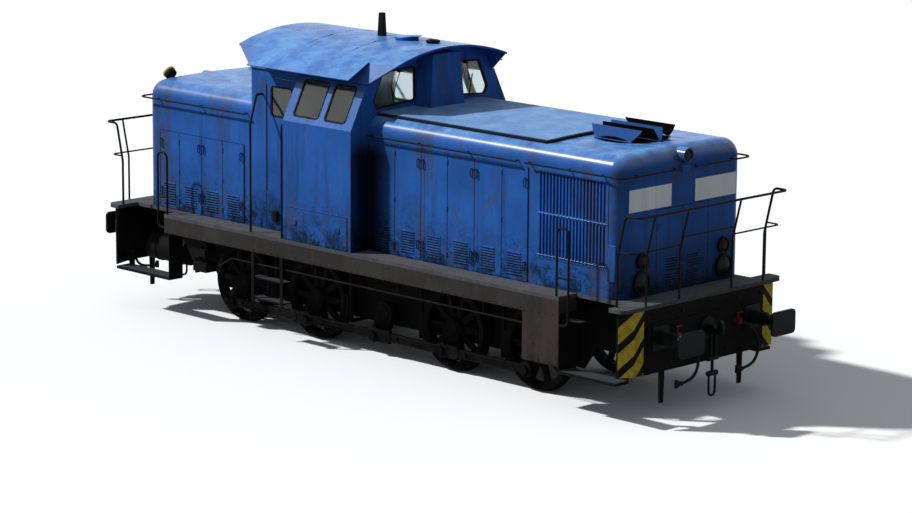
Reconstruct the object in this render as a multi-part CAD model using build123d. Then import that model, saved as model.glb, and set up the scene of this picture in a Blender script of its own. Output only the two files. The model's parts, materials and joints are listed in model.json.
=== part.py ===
"""Four-axle diesel shunting locomotive, with a cab between a long and a short hood.

Units are millimetres. +X runs towards the end of the long hood, +Y to the left side and +Z up.
The origin is on the ground plane under the wheel flanges, at the middle of the length and width.
Heights named *_z are measured from that plane; "rail" is the height of the wheel treads.
"""

from build123d import *
from math import asin, atan2, cos, degrees, hypot, pi, radians, sin, tan
import os

os.makedirs("parts", exist_ok=True)

# ---------------------------------------------------------------- driving dimensions

flange_depth = 28
rail = flange_depth

# Ends: headstocks, buffers and platforms.
buffer_face_x = 5440
headstock_x = 4880
headstock_corner_x = 4762
headstock_flat_y = 1128
headstock_thickness = 30
headstock_bottom_z = rail + 594
buffer_pad = 25
buffer_y = 875
buffer_z = rail + 1040
platform_x = 4892
sill_half_width = 1485
headstock_half_width = sill_half_width - 13
platform_half_width = sill_half_width + 36
platform_corner_radius = 125
deck_z = rail + 1460
deck_thickness = 50

# Running boards and the step wells at the four corners.
sill_bottom_z = rail + 1198
sill_web = 30
sill_front_x = 3781
sill_rear_x = -3691
well_end_x = 4645
well_inner_y = sill_half_width - 325

# Wheels, axles and rods.
wheel_radius = 550
axle_xs = (2800, 1300, -1300, -2800)
jackshaft_x = 20
axle_z = rail + wheel_radius
tyre_inner_y = 680
tyre_width = 135
rim_inner_radius = 462
rim_web = 12
hub_radius = 150
hub_outer_y = 832
hub_inner_y = 662
spoke_count = 10
axle_radius = 90
crank_radius = 320
crank_angle = 248
crank_boss_radius = 105
crank_pin_radius = 52
crank_pin_end_y = 952
rod_inner_y = 846
rod_thickness = 62
rod_height = 112
rod_boss_radius = 104
knuckle_offset = 255
pin_play = 3
hinge_play = 0.05

# Inner frame plates.
frame_plate_y = 605
frame_plate_thickness = 30
frame_end_x = 4700
stretcher_xs = (-4050, -2050, -480, 520, 2050, 4050)
outrigger_xs = (-3480, -2050, -480, 520, 2050, 3480)
horn_width = 250
horn_top_above_axle = 190

# Hoods.
hood_half_width = 1160
hood_shoulder_z = rail + 3230
hood_crown_z = rail + 3268
hood_edge_radius = 225
hood_wall = 40
long_hood_x = 4490
short_hood_x = -4430

# Cab.
cab_front_x = 62
cab_rear_x = -2220
cab_door_wall_x = -1245
cab_half_width = sill_half_width
cab_waist_z = rail + 3070
cab_top_half_width = cab_half_width - 295
cab_top_z = rail + 3656
cab_wall = 45
roof_fold_half_width = cab_half_width - 444
roof_fold_z = rail + 3917
roof_crown_z = rail + 4100
roof_front_x = 448
roof_rear_x = -2600
roof_sheet = 28
visor_half_width = cab_half_width - 45
visor_z = rail + 3717
visor_front_x = -30
visor_rear_x = -2020
visor_sheet = 14
door_front_x = -1290
door_rear_x = -1925

seat_gap = 0.3
moving_gap = 6


# ---------------------------------------------------------------- small makers

def slab(x0, x1, y0, y1, z0, z1):
    """A plain block between two corners."""
    size = (abs(x1 - x0), abs(y1 - y0), abs(z1 - z0))
    return Pos((x0 + x1) / 2, (y0 + y1) / 2, (z0 + z1) / 2) * Box(*size)


def side_plate(points, y0, y1):
    """A plate standing along the locomotive: an outline of (x, z) points from y0 to y1."""
    face = make_face(Polyline(*[(x, y0, z) for x, z in points], close=True))
    return extrude(face, amount=y1 - y0, dir=(0, 1, 0))


def cross_plate(points, x0, x1):
    """A plate standing across the locomotive: an outline of (y, z) points from x0 to x1."""
    face = make_face(Polyline(*[(x0, y, z) for y, z in points], close=True))
    return extrude(face, amount=x1 - x0, dir=(1, 0, 0))


def floor_plate(points, z0, z1):
    """A level plate: an outline of (x, y) points from z0 to z1."""
    face = make_face(Polyline(*[(x, y, z0) for x, y in points], close=True))
    return extrude(face, amount=z1 - z0, dir=(0, 0, 1))


def along_x(x0, x1, y, z, radius):
    """A round bar or drum lying along X."""
    return Pos((x0 + x1) / 2, y, z) * Rot(0, 90, 0) * Cylinder(radius, abs(x1 - x0))


def along_y(y0, y1, x, z, radius):
    """A round bar or drum lying across, along Y."""
    return Pos(x, (y0 + y1) / 2, z) * Rot(90, 0, 0) * Cylinder(radius, abs(y1 - y0))


def upright(z0, z1, x, y, radius):
    """A round post."""
    return Pos(x, y, (z0 + z1) / 2) * Cylinder(radius, abs(z1 - z0))


def mirrored(solid):
    """The same piece on the other side of the locomotive's centre plane."""
    return mirror(solid, about=Plane.XZ)


def both_sides(solid):
    """A piece and its mirror image, in one node."""
    return Compound(solid.solids() + mirrored(solid).solids())


def bent_tube(points, radius, bend):
    """A round tube that runs through points, with a bend of one radius at each corner."""
    path = FilletPolyline(*points, radius=bend) if len(points) > 2 else Polyline(*points)
    return sweep(Plane(origin=path @ 0, z_dir=path % 0) * Circle(radius), path=path)


def write(node, *shapes):
    """Writes one node, made of one or more solids."""
    solids = [solid for shape in shapes for solid in shape.solids()]
    whole = solids[0] if len(solids) == 1 else Compound(solids)
    export_step(whole, f"parts/{node}.step")


# ---------------------------------------------------------------- frame and deck

def make_main_frame():
    """Two inner plates with horns for the axle boxes, joined by cross stretchers."""
    top = deck_z - deck_thickness
    end_bottom = headstock_bottom_z + 60
    low = axle_z - 190
    outline = [(-frame_end_x, top), (-frame_end_x, end_bottom), (-3650, end_bottom), (-3450, low),
               (3450, low), (3650, end_bottom), (frame_end_x, end_bottom), (frame_end_x, top)]
    plate = side_plate(outline, frame_plate_y, frame_plate_y + frame_plate_thickness)
    for x in axle_xs:
        half = horn_width / 2
        horn = slab(x - half, x + half, frame_plate_y - 5, frame_plate_y + frame_plate_thickness + 5,
                    low - 10, axle_z + horn_top_above_axle)
        plate -= horn
    plate -= along_y(frame_plate_y - 5, frame_plate_y + frame_plate_thickness + 5,
                     jackshaft_x, axle_z, axle_radius + moving_gap)
    frame = plate + mirrored(plate)
    for x in stretcher_xs:
        frame += slab(x - 15, x + 15, -frame_plate_y, frame_plate_y, axle_z - 100, top)
    for end in (1, -1):
        frame += slab(end * frame_end_x, end * (frame_end_x - 30), -frame_plate_y, frame_plate_y,
                      end_bottom, top)
    plate_outside = frame_plate_y + frame_plate_thickness
    arm = [(-plate_outside, top - 330), (-plate_outside, top), (-sill_half_width + sill_web, top),
           (-sill_half_width + sill_web, top - 120)]
    for x in outrigger_xs:
        outrigger = cross_plate(arm, x - 12, x + 12)
        frame += outrigger + mirrored(outrigger)
    return frame


def make_footplate():
    """The deck: a platform at each end, the running boards and a well for each set of steps."""
    length = 2 * platform_x
    sheet = RectangleRounded(length, 2 * platform_half_width, platform_corner_radius)
    for side in (1, -1):
        board_y = side * (sill_half_width + platform_half_width) / 2
        board = Pos(0, board_y) * Rectangle(2 * well_end_x, platform_half_width - sill_half_width)
        front_well = Pos((well_end_x + sill_front_x) / 2, side * (well_inner_y + 500)) * Rectangle(
            well_end_x - sill_front_x, 1000)
        rear_well = Pos((sill_rear_x - well_end_x) / 2, side * (well_inner_y + 500)) * Rectangle(
            well_end_x + sill_rear_x, 1000)
        sheet = sheet - board - front_well - rear_well
    return Pos(0, 0, deck_z - deck_thickness) * extrude(sheet, amount=deck_thickness)


def make_side_sill():
    """The deep channel under a running board, closed at both ends."""
    top = deck_z - deck_thickness
    inner = well_inner_y
    web = slab(sill_rear_x, sill_front_x, -sill_half_width, -sill_half_width + sill_web,
               sill_bottom_z, top)
    flange = slab(sill_rear_x, sill_front_x, -sill_half_width, -sill_half_width + 120,
                  sill_bottom_z, sill_bottom_z + sill_web)
    ends = [slab(x, x + step, -sill_half_width, -inner, sill_bottom_z, top)
            for x, step in ((sill_rear_x, sill_web), (sill_front_x, -sill_web))]
    return web + flange + ends[0] + ends[1]


guard_x = 4820
guard_y = 747
guard_bottom_z = rail + 185


# Toe plates: they slope forwards and down under each buffer.
toe_top_z = rail + 735
toe_drop = 95
toe_reach = 60
toe_length = hypot(toe_drop, toe_reach)
toe_top_ys = (648, 1120)
toe_bottom_ys = (690, 1085)
toe_sheet = 8


def headstock_outline(offset=0):
    """Half plan of a headstock: a flat middle and corners that sweep back."""
    return [(headstock_x - offset, 0), (headstock_x - offset, headstock_flat_y),
            (headstock_corner_x - offset, headstock_half_width)]


def make_headstock():
    """Thick end plate with swept corners, a pad for the buffers, toe plates and rail guards."""
    outer = headstock_outline()
    inner = headstock_outline(headstock_thickness)
    right = [(x, -y) for x, y in outer[1:]]
    left = outer[::-1]
    right_inner = [(x, -y) for x, y in inner[1:]][::-1]
    loop = left + right + right_inner + inner
    top = deck_z - deck_thickness
    plate = floor_plate(loop, headstock_bottom_z, top)
    pad = slab(headstock_x, headstock_x + buffer_pad, -1085, 1085, rail + 852, rail + 1218)
    toe_edge = [(-toe_top_ys[1], 0), (-toe_top_ys[0], 0), (-toe_bottom_ys[0], -toe_length),
                (-toe_bottom_ys[1], -toe_length)]
    toe_plane = Plane(origin=(headstock_x - headstock_thickness / 2, 0, toe_top_z),
                      x_dir=(0, 1, 0), z_dir=(toe_drop, 0, toe_reach))
    toe = extrude(toe_plane * make_face(Polyline(*toe_edge, close=True)), amount=toe_sheet)
    stiffener = slab(frame_end_x, headstock_x - headstock_thickness, 590, 650,
                     headstock_bottom_z + 60, top)
    guard = cross_plate([(-guard_y - 48, headstock_bottom_z + 120), (-guard_y - 30, guard_bottom_z),
                         (-guard_y + 30, guard_bottom_z), (-guard_y + 48, headstock_bottom_z + 120)],
                        guard_x, headstock_x - headstock_thickness)
    side_pieces = toe + stiffener + guard
    return plate + pad + side_pieces + mirrored(side_pieces)


def end_pair(front):
    """A front piece and the same piece at the rear end, turned half round."""
    return Compound(front.solids() + (Rot(0, 0, 180) * front).solids())


# ---------------------------------------------------------------- buffers and draw gear

buffer_pad_x = headstock_x + buffer_pad
buffer_flange_side = 300
buffer_sleeve_radius = 80
buffer_sleeve_end_x = 5150
buffer_stem_radius = 65
buffer_collar_xs = (buffer_pad_x + 45, buffer_pad_x + 85, buffer_sleeve_end_x - 30)
buffer_collar_radius = 90
buffer_collar_width = 20
buffer_head_width = 450
buffer_head_height = 312
buffer_head_corner = 60
buffer_head_thickness = 32


def make_buffer():
    """Square flange, sleeve, sliding stem and a rounded oblong head."""
    flange = Pos(buffer_pad_x, -buffer_y, buffer_z) * Rot(0, 90, 0) * extrude(
        RectangleRounded(buffer_flange_side, buffer_flange_side, 40), amount=22)
    sleeve = along_x(buffer_pad_x, buffer_sleeve_end_x, -buffer_y, buffer_z, buffer_sleeve_radius)
    for x in buffer_collar_xs:
        sleeve += along_x(x, x + buffer_collar_width, -buffer_y, buffer_z, buffer_collar_radius)
    stem = along_x(buffer_sleeve_end_x - 5, buffer_face_x - 10, -buffer_y, buffer_z,
                   buffer_stem_radius)
    head_back = buffer_face_x - buffer_head_thickness
    head = Pos(head_back, -buffer_y, buffer_z) * Rot(0, 90, 0) * extrude(
        RectangleRounded(buffer_head_height, buffer_head_width, buffer_head_corner),
        amount=buffer_head_thickness)
    return flange + sleeve + stem + head


hook_pin_x = 5020
hook_pin_z = rail + 1005
hook_thickness = 50
hook_plate_radius = 105
coupling_pin_radius = 22


def make_draw_hook():
    """Round guide plate, square shank and the hook that rises at its end."""
    plate = along_x(buffer_pad_x, buffer_pad_x + 40, 0, buffer_z - 10, hook_plate_radius + 40)
    shank = slab(buffer_pad_x, hook_pin_x - 30, -hook_thickness / 2, hook_thickness / 2,
                 buffer_z - 55, buffer_z + 35)
    outline = [(hook_pin_x - 60, buffer_z - 75), (hook_pin_x + 45, buffer_z - 75),
               (hook_pin_x + 150, buffer_z - 60), (hook_pin_x + 175, buffer_z + 5),
               (hook_pin_x + 165, buffer_z + 90), (hook_pin_x + 120, buffer_z + 120),
               (hook_pin_x + 100, buffer_z + 40), (hook_pin_x + 60, buffer_z + 5),
               (hook_pin_x + 20, buffer_z + 40), (hook_pin_x - 60, buffer_z + 35)]
    hook = side_plate(outline, -hook_thickness / 2, hook_thickness / 2)
    bore = along_y(-60, 60, hook_pin_x, hook_pin_z, coupling_pin_radius + hinge_play)
    return plate + shank + hook - bore


coupling_link_y = 38
coupling_bar = 15
coupling_nut_z = rail + 660
coupling_end_z = rail + 175


def make_screw_coupling():
    """Two side links from the hook pin to a trunnion nut, the screw, and the end shackle."""
    pin = along_y(-70, 70, hook_pin_x, hook_pin_z, coupling_pin_radius)
    link = slab(hook_pin_x - 22, hook_pin_x + 22, coupling_link_y - 8, coupling_link_y + 14,
                coupling_nut_z, hook_pin_z + 10)
    eye = along_y(coupling_link_y - 8, coupling_link_y + 14, hook_pin_x, hook_pin_z, 40)
    side = link + eye
    nut = along_y(-95, 95, hook_pin_x, coupling_nut_z, 30)
    screw = upright(coupling_nut_z - 190, coupling_nut_z, hook_pin_x, 0, 20)
    lower_nut_z = coupling_nut_z - 190
    lower_nut = along_y(-85, 85, hook_pin_x, lower_nut_z, 34)
    reach = lower_nut_z
    shackle_points = [(hook_pin_x, -62, reach), (hook_pin_x, -58, coupling_end_z + coupling_bar),
                      (hook_pin_x, 58, coupling_end_z + coupling_bar), (hook_pin_x, 62, reach)]
    shackle = bent_tube(shackle_points, coupling_bar, 45)
    return pin + side + mirrored(side) + nut + screw + lower_nut + shackle


# ---------------------------------------------------------------- wheels, axles and rods

def make_wheel():
    """A spoked wheel with its tyre, at the -Y side, centred on its axle at the origin."""
    outer_y = tyre_inner_y + tyre_width
    profile = [(rim_inner_radius, tyre_inner_y + 8), (rim_inner_radius + 30, tyre_inner_y),
               (wheel_radius + 12, tyre_inner_y), (wheel_radius + flange_depth, tyre_inner_y + 12),
               (wheel_radius + flange_depth, tyre_inner_y + 22), (wheel_radius, tyre_inner_y + 34),
               (wheel_radius - 4, outer_y), (rim_inner_radius + 30, outer_y),
               (rim_inner_radius, outer_y - 12)]
    rim_face = make_face(Polyline(*[(r, -y, 0) for r, y in profile], close=True))
    rim = revolve(rim_face, axis=Axis.Y)
    hub_profile = [(axle_radius - 20, hub_inner_y), (hub_radius, hub_inner_y),
                   (hub_radius, hub_outer_y - 30), (hub_radius - 25, hub_outer_y),
                   (axle_radius - 20, hub_outer_y)]
    hub = revolve(make_face(Polyline(*[(r, -y, 0) for r, y in hub_profile], close=True)),
                  axis=Axis.Y)
    mid_y = tyre_inner_y + tyre_width / 2
    spoke_root = loft([
        Plane(origin=(hub_radius - 20, -mid_y, 0), z_dir=(1, 0, 0)) * Rectangle(90, 62),
        Plane(origin=(rim_inner_radius + 12, -mid_y, 0), z_dir=(1, 0, 0)) * Rectangle(70, 46)])
    wheel = rim + hub
    for index in range(spoke_count):
        wheel += Rot(0, index * 360 / spoke_count, 0) * spoke_root
    return wheel


def crank_point(angle):
    """Where a crank pin stands from its axle, in X and Z."""
    return crank_radius * cos(radians(angle)), crank_radius * sin(radians(angle))


def make_crank(angle, inner_y):
    """The crank boss and pin on the -Y side; its web is tangent to hub and boss."""
    px, pz = crank_point(angle)
    spread = degrees(asin((hub_radius - crank_boss_radius) / crank_radius))
    corners = []
    for radius, cx, cz, side in ((hub_radius, 0, 0, 1), (crank_boss_radius, px, pz, 1),
                                 (crank_boss_radius, px, pz, -1), (hub_radius, 0, 0, -1)):
        turn = radians(angle + side * (90 - spread))
        corners.append((cx + radius * cos(turn), cz + radius * sin(turn)))
    web = side_plate(corners, -hub_outer_y, -inner_y)
    boss = along_y(-hub_outer_y, -inner_y, px, pz, crank_boss_radius)
    pin = along_y(-crank_pin_end_y, -hub_outer_y + 5, px, pz, crank_pin_radius)
    collar = along_y(-crank_pin_end_y - 4, -crank_pin_end_y + 18, px, pz, crank_pin_radius + 14)
    return web + boss + pin + collar


def make_wheelset():
    """An axle, its two wheels and their crank pins, a quarter turn apart, at the origin."""
    axle = along_y(-hub_outer_y - 6, hub_outer_y + 6, 0, 0, axle_radius)
    wheel = make_wheel()
    right = wheel + make_crank(crank_angle, hub_outer_y - 60)
    left = mirrored(wheel + make_crank(crank_angle + 90, hub_outer_y - 60))
    return axle + right + left


def make_jackshaft():
    """The cross shaft that the gearbox turns, with a crank on each end."""
    shaft = along_y(-hub_outer_y - 6, hub_outer_y + 6, 0, 0, axle_radius)
    hub = along_y(-hub_outer_y, -hub_outer_y + 110, 0, 0, hub_radius)
    right = hub + make_crank(crank_angle, hub_outer_y - 110)
    left = mirrored(hub + make_crank(crank_angle + 90, hub_outer_y - 110))
    return shaft + right + left


def make_rods(angle):
    """The four coupling rods of the -Y side with their knuckle joints in line."""
    px, pz = crank_point(angle)
    pin_z = axle_z + pz
    outer_y = -rod_inner_y - rod_thickness
    mid_y = -rod_inner_y - rod_thickness / 2
    pins = sorted([x + px for x in axle_xs] + [jackshaft_x + px])
    first, second, shaft, third, last = pins
    knuckles = (second - knuckle_offset, shaft + knuckle_offset, third + knuckle_offset)
    spans = ((first, knuckles[0]), (knuckles[0], knuckles[1]), (knuckles[1], knuckles[2]),
             (knuckles[2], last))
    rods = None
    for x0, x1 in spans:
        body = slab(x0, x1, outer_y, -rod_inner_y, pin_z - rod_height / 2, pin_z + rod_height / 2)
        groove = slab(x0 + 190, x1 - 190, outer_y - 1, outer_y + 14,
                      pin_z - rod_height / 2 + 22, pin_z + rod_height / 2 - 22)
        if x1 - x0 > 900:
            body -= groove
        rods = body if rods is None else rods + body
    for x in pins:
        rods += along_y(outer_y, -rod_inner_y, x, pin_z, rod_boss_radius)
    for x, end in ((second, knuckles[0]), (shaft, knuckles[1]), (third, knuckles[2])):
        low, high = min(x, end) - 40, max(x, end) + 40
        rods += slab(low, high, outer_y, -rod_inner_y, pin_z - 85, pin_z + 85)
    for x in knuckles:
        rods += along_y(outer_y - 10, -rod_inner_y, x, pin_z, 70)
    for x in pins:
        play = hinge_play if x == third else pin_play
        rods -= along_y(outer_y - 5, -rod_inner_y + 5, x, pin_z, crank_pin_radius + play)
    return rods


axlebox_width = 240
axlebox_height = 250


def make_axleboxes():
    """Cast boxes in the horns of the frame plates; the axle turns in them."""
    boxes = []
    low = axle_z - axlebox_height / 2
    for x in axle_xs:
        box = slab(x - axlebox_width / 2, x + axlebox_width / 2, 565, 655,
                   low, low + axlebox_height)
        bore = along_y(560, 660, x, axle_z, axle_radius + hinge_play)
        boxes += both_sides(box - bore).solids()
    return Compound(boxes)


spring_leaf = 14
spring_leaves = 6
spring_half_length = 420
spring_width = 80


def make_springs():
    """Leaf springs above the axle boxes, each a stack of leaves held by a buckle."""
    springs = []
    base = axle_z + axlebox_height / 2 + seat_gap
    outer = frame_plate_y - seat_gap
    inner = outer - spring_width
    for x in axle_xs:
        spring = slab(x - 45, x + 45, inner, outer, base, base + 40)
        stack_z = base + 40
        for index in range(spring_leaves):
            half = spring_half_length * (1 - index * 0.13)
            spring += slab(x - half, x + half, inner, outer,
                           stack_z + (spring_leaves - 1 - index) * spring_leaf,
                           stack_z + (spring_leaves - index) * spring_leaf)
        buckle = slab(x - 55, x + 55, inner - 8, outer, stack_z - 5,
                      stack_z + spring_leaves * spring_leaf + 8)
        springs += both_sides(spring + buckle).solids()
    return Compound(springs)


shoe_height = 380
shoe_thickness = 55
hanger_top_z = rail + 1180
shoe_gap = 8


def make_brake_gear():
    """For each wheel a hung brake shoe, with cross beams and a pull rod below the axles."""
    gear = []
    shoe_y = (tyre_inner_y + 36, tyre_inner_y + tyre_width - 8)
    for x, side in ((axle_xs[0], -1), (axle_xs[1], -1), (axle_xs[2], 1), (axle_xs[3], 1)):
        inner = wheel_radius + shoe_gap
        ring = along_y(-shoe_y[1], -shoe_y[0], x, axle_z, inner + shoe_thickness)
        ring -= along_y(-shoe_y[1] - 5, -shoe_y[0] + 5, x, axle_z, inner)
        keep = slab(x + side * 300, x + side * (inner + shoe_thickness + 20), -shoe_y[1] - 5,
                    -shoe_y[0] + 5, axle_z - shoe_height / 2 - 60, axle_z + shoe_height / 2 - 60)
        shoe = ring & keep
        back = x + side * (inner + shoe_thickness)
        hanger = slab(back - side * 6, back + side * 44, -790, -750, axle_z - 240, hanger_top_z)
        beam_z = axle_z - 225
        lug = slab(back - side * 30, back + side * 44, -shoe_y[1] + 10, -shoe_y[0] - 10,
                   axle_z - 130, axle_z - 30)
        bracket = slab(back - side * 6, back + side * 60, -790, -frame_plate_y - frame_plate_thickness,
                       hanger_top_z - 90, hanger_top_z)
        half = shoe + hanger + lug + bracket
        beam = along_y(-770, 770, back + side * 24, beam_z, 24)
        gear += (half + mirrored(half) + beam).solids()
    return Compound(gear)


def make_gearbox():
    """The final drive between the frame plates, whose output is the jackshaft."""
    half = frame_plate_y - seat_gap
    block = slab(jackshaft_x - 330, jackshaft_x + 330, -half, half, axle_z - 180, axle_z + 560)
    return block - along_y(-half - 5, half + 5, jackshaft_x, axle_z, axle_radius + hinge_play)


# ---------------------------------------------------------------- underframe fittings

sandbox_rear_x = 3169
sandbox_bottom_z = rail + 575
sandbox_depth = 325
front_tread_z = rail + 530
rear_tread_z = rail + 575
tread_thickness = 40
tread_inner_y = sill_half_width - 245
tread_end_x = 4735
hanger_width = 110
gusset_top_z = headstock_bottom_z + 170
step_plate = 16
corner_sweep = (headstock_x - headstock_corner_x) / (headstock_half_width - headstock_flat_y)
gusset_end_x = (headstock_x - headstock_thickness - seat_gap
                - corner_sweep * (tread_inner_y + step_plate - headstock_flat_y))
rear_wall_x = -3590


def make_sandbox():
    """Sand container flush under the front end of a sill."""
    return slab(sandbox_rear_x, sill_front_x, -sill_half_width, -sill_half_width + sandbox_depth,
                sandbox_bottom_z, sill_bottom_z)


def make_corner_steps():
    """Treads in the wells: each hangs from an upright wall at the end of the sill."""
    inner = -sill_half_width + sandbox_depth
    front_wall = slab(sill_front_x, sill_front_x + step_plate, -sill_half_width, inner,
                      front_tread_z - tread_thickness, sill_bottom_z + 60)
    front_tread = slab(sill_front_x, tread_end_x, -sill_half_width, -tread_inner_y,
                       front_tread_z - tread_thickness, front_tread_z)
    hanger = slab(tread_end_x - hanger_width, gusset_end_x, -tread_inner_y - step_plate,
                  -tread_inner_y, headstock_bottom_z + 15, gusset_top_z)
    hanger += slab(tread_end_x - hanger_width, tread_end_x, -tread_inner_y - step_plate,
                   -tread_inner_y, front_tread_z - 5, gusset_top_z)
    upper = slab(sill_front_x, sill_front_x + 270, -sill_half_width + 85, -tread_inner_y - 30,
                 rail + 1150, rail + 1165)
    rear_wall = slab(rear_wall_x - step_plate, rear_wall_x, -sill_half_width, -tread_inner_y,
                     rear_tread_z - tread_thickness, sill_bottom_z)
    rear_tread = slab(rear_wall_x, -tread_end_x, -sill_half_width, -tread_inner_y,
                      rear_tread_z - tread_thickness, rear_tread_z)
    rear_hanger = slab(-tread_end_x + hanger_width, -gusset_end_x, -tread_inner_y - step_plate,
                       -tread_inner_y, headstock_bottom_z + 15, gusset_top_z)
    rear_hanger += slab(-tread_end_x + hanger_width, -tread_end_x, -tread_inner_y - step_plate,
                        -tread_inner_y, rear_tread_z - 5, gusset_top_z)
    front = front_wall + front_tread + hanger + upper
    rear = rear_wall + rear_tread + rear_hanger
    return Compound(both_sides(front).solids() + both_sides(rear).solids())


cab_step_xs = (-1860, -1290)
cab_step_y = sill_half_width - 15
cab_step_treads = (rail + 855, rail + 570)


def make_cab_steps():
    """Ladder under each cab door: two flat uprights and two treads."""
    low = cab_step_treads[-1] - 60
    ladder = None
    for x in cab_step_xs:
        bar = slab(x - 28, x + 28, -cab_step_y - 12, -cab_step_y, low, sill_bottom_z)
        ladder = bar if ladder is None else ladder + bar
    for z in cab_step_treads:
        ladder += slab(cab_step_xs[0] - 28, cab_step_xs[1] + 28, -cab_step_y, -cab_step_y + 150,
                       z - 22, z)
    return ladder


tank_radius = 185
tank_y = 1000
tank_z = rail + 850
tank_xs = (-4520, -3610)


def make_air_reservoirs():
    """One drum on each side behind the rear steps, with domed ends and two straps."""
    x0, x1 = tank_xs
    dome = 70
    profile = [(x0, 0), (x0, 60), (x0 + 18, 125), (x0 + dome, tank_radius), (x1 - dome, tank_radius),
               (x1 - 18, 125), (x1, 60), (x1, 0)]
    face = make_face(Polyline(*[(x, r, 0) for x, r in profile], close=True))
    drum = Pos(0, -tank_y, tank_z) * revolve(face, axis=Axis.X)
    for x in (x0 + 250, x1 - 250):
        drum += along_x(x - 25, x + 25, -tank_y, tank_z, tank_radius + 10)
        drum += slab(x - 25, x + 25, -tank_y + 60, -frame_plate_y - frame_plate_thickness,
                     tank_z + 60, tank_z + 110)
    return drum


# ---------------------------------------------------------------- hoods

rim_easing = 25


def hood_form(end_x, near_x, inset):
    """A hood's outer form, or the space in it when inset by its wall."""
    half = hood_half_width - inset
    shoulder = hood_shoulder_z - inset
    crown = hood_crown_z - inset
    corner = hood_edge_radius - inset
    base = deck_z
    direction = 1 if end_x > near_x else -1
    far = end_x - direction * inset
    outline = (Line((near_x, -half, base), (near_x, half, base))
               + Line((near_x, half, base), (near_x, half, shoulder))
               + ThreePointArc((near_x, half, shoulder), (near_x, 0, crown), (near_x, -half, shoulder))
               + Line((near_x, -half, shoulder), (near_x, -half, base)))
    block = extrude(make_face(outline), amount=abs(far - near_x), dir=(direction, 0, 0))
    top_edges = block.edges().filter_by(Axis.X).filter_by_position(Axis.Z, shoulder - 1, crown)
    block = fillet(top_edges, corner)
    face = block.faces().sort_by(Axis.X)[-1 if direction > 0 else 0]
    rim = [edge for edge in face.edges() if edge.center().Z > base + 10]
    return fillet(rim, corner - rim_easing)


grille_x = (3100, 4290)
grille_z = (rail + 1820, rail + 2955)
fan_x = 3630
fan_radius = 462


def make_long_hood():
    """Sheet hood over the engine, open for the side grilles and the roof fan."""
    hood = hood_form(long_hood_x, cab_front_x, 0)
    space = hood_form(long_hood_x, cab_front_x - 1, hood_wall)
    hood -= space
    for side in (1, -1):
        hood -= slab(grille_x[0], grille_x[1], side * (hood_half_width - hood_wall - 20),
                     side * (hood_half_width + 20), grille_z[0], grille_z[1])
    hood -= upright(hood_shoulder_z - 200, hood_crown_z + 50, fan_x, 0, fan_radius)
    return hood


def make_short_hood():
    """Sheet hood over the batteries and compressors behind the cab."""
    hood = hood_form(short_hood_x, cab_rear_x, 0)
    return hood - hood_form(short_hood_x, cab_rear_x + 1, hood_wall)


leaf_thickness = 8
leaf_gap = 8
long_leaf_edges = (82, 565, 1048, 1527, 2010, 2490, 2942)
long_leaf_z = (deck_z + 18, rail + 2935)
short_leaf_edges = (-4133, -3727, -3257, -2817, -2380)
short_leaf_z = (deck_z + 18, rail + 2562)


def make_doors(edges, heights):
    """Service doors of one side: plain leaves that lie on the hood with a gap between them."""
    leaves = []
    for x0, x1 in zip(edges, edges[1:]):
        leaves.append(slab(x0 + leaf_gap / 2, x1 - leaf_gap / 2, -hood_half_width - leaf_thickness,
                           -hood_half_width, heights[0], heights[1]))
    return leaves


grille_bars = 20
grille_frame = 34
grille_bar_depth = 40


def make_grille():
    """Radiator grille: a frame, a middle rail and two rows of upright bars."""
    x0, x1 = grille_x[0] + seat_gap, grille_x[1] - seat_gap
    z0, z1 = grille_z[0] + seat_gap, grille_z[1] - seat_gap
    outer_y = -hood_half_width - 6
    inner_y = outer_y + grille_bar_depth
    grille = slab(x0, x1, outer_y, inner_y, z0, z1)
    middle = (z0 + z1) / 2
    pitch = (x1 - x0 - 2 * grille_frame) / grille_bars
    for index in range(grille_bars):
        left = x0 + grille_frame + index * pitch
        for low, high in ((z0 + grille_frame, middle - 20), (middle + 20, z1 - grille_frame)):
            grille -= slab(left + pitch * 0.2, left + pitch * 0.8, outer_y - 5, inner_y + 5, low, high)
    return grille


fan_blades = 8
fan_hub_radius = 110
fan_z = rail + 3060
fan_shaft_radius = 30
fan_shaft_low_z = fan_z - 230
fan_beam_z = (fan_z - 200, fan_z - 120)
radiator_depth = 170


def make_radiators():
    """Cooling element behind each grille, and the beam between them that carries the fan."""
    outside = hood_half_width - hood_wall
    core = slab(grille_x[0] - 40, grille_x[1] - 5, -outside, -outside + radiator_depth,
                grille_z[0] - 60, grille_z[1] + 20)
    beam = slab(fan_x - 60, fan_x + 60, -outside + radiator_depth - 10,
                outside - radiator_depth + 10, *fan_beam_z)
    bore = upright(fan_beam_z[0] - 5, fan_beam_z[1] + 5, fan_x, 0, fan_shaft_radius + hinge_play)
    return core + mirrored(core) + beam - bore


def make_fan():
    """Roof fan: hub and pitched blades on an upright shaft."""
    fan = upright(fan_z - 60, fan_z + 60, fan_x, 0, fan_hub_radius)
    fan += upright(fan_shaft_low_z, fan_z, fan_x, 0, fan_shaft_radius)
    blade = Rot(28, 0, 0) * Box(fan_radius - 60 - fan_hub_radius + 20, 130, 8)
    for index in range(fan_blades):
        placed = Rot(0, 0, index * 360 / fan_blades) * (
            Pos((fan_radius - 60 + fan_hub_radius - 20) / 2, 0, 0) * blade)
        fan += Pos(fan_x, 0, fan_z) * placed
    return fan


engine_x = (620, 2950)
engine_half_width = 420
engine_z = (deck_z, rail + 2820)


# ---------------------------------------------------------------- cab

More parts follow.
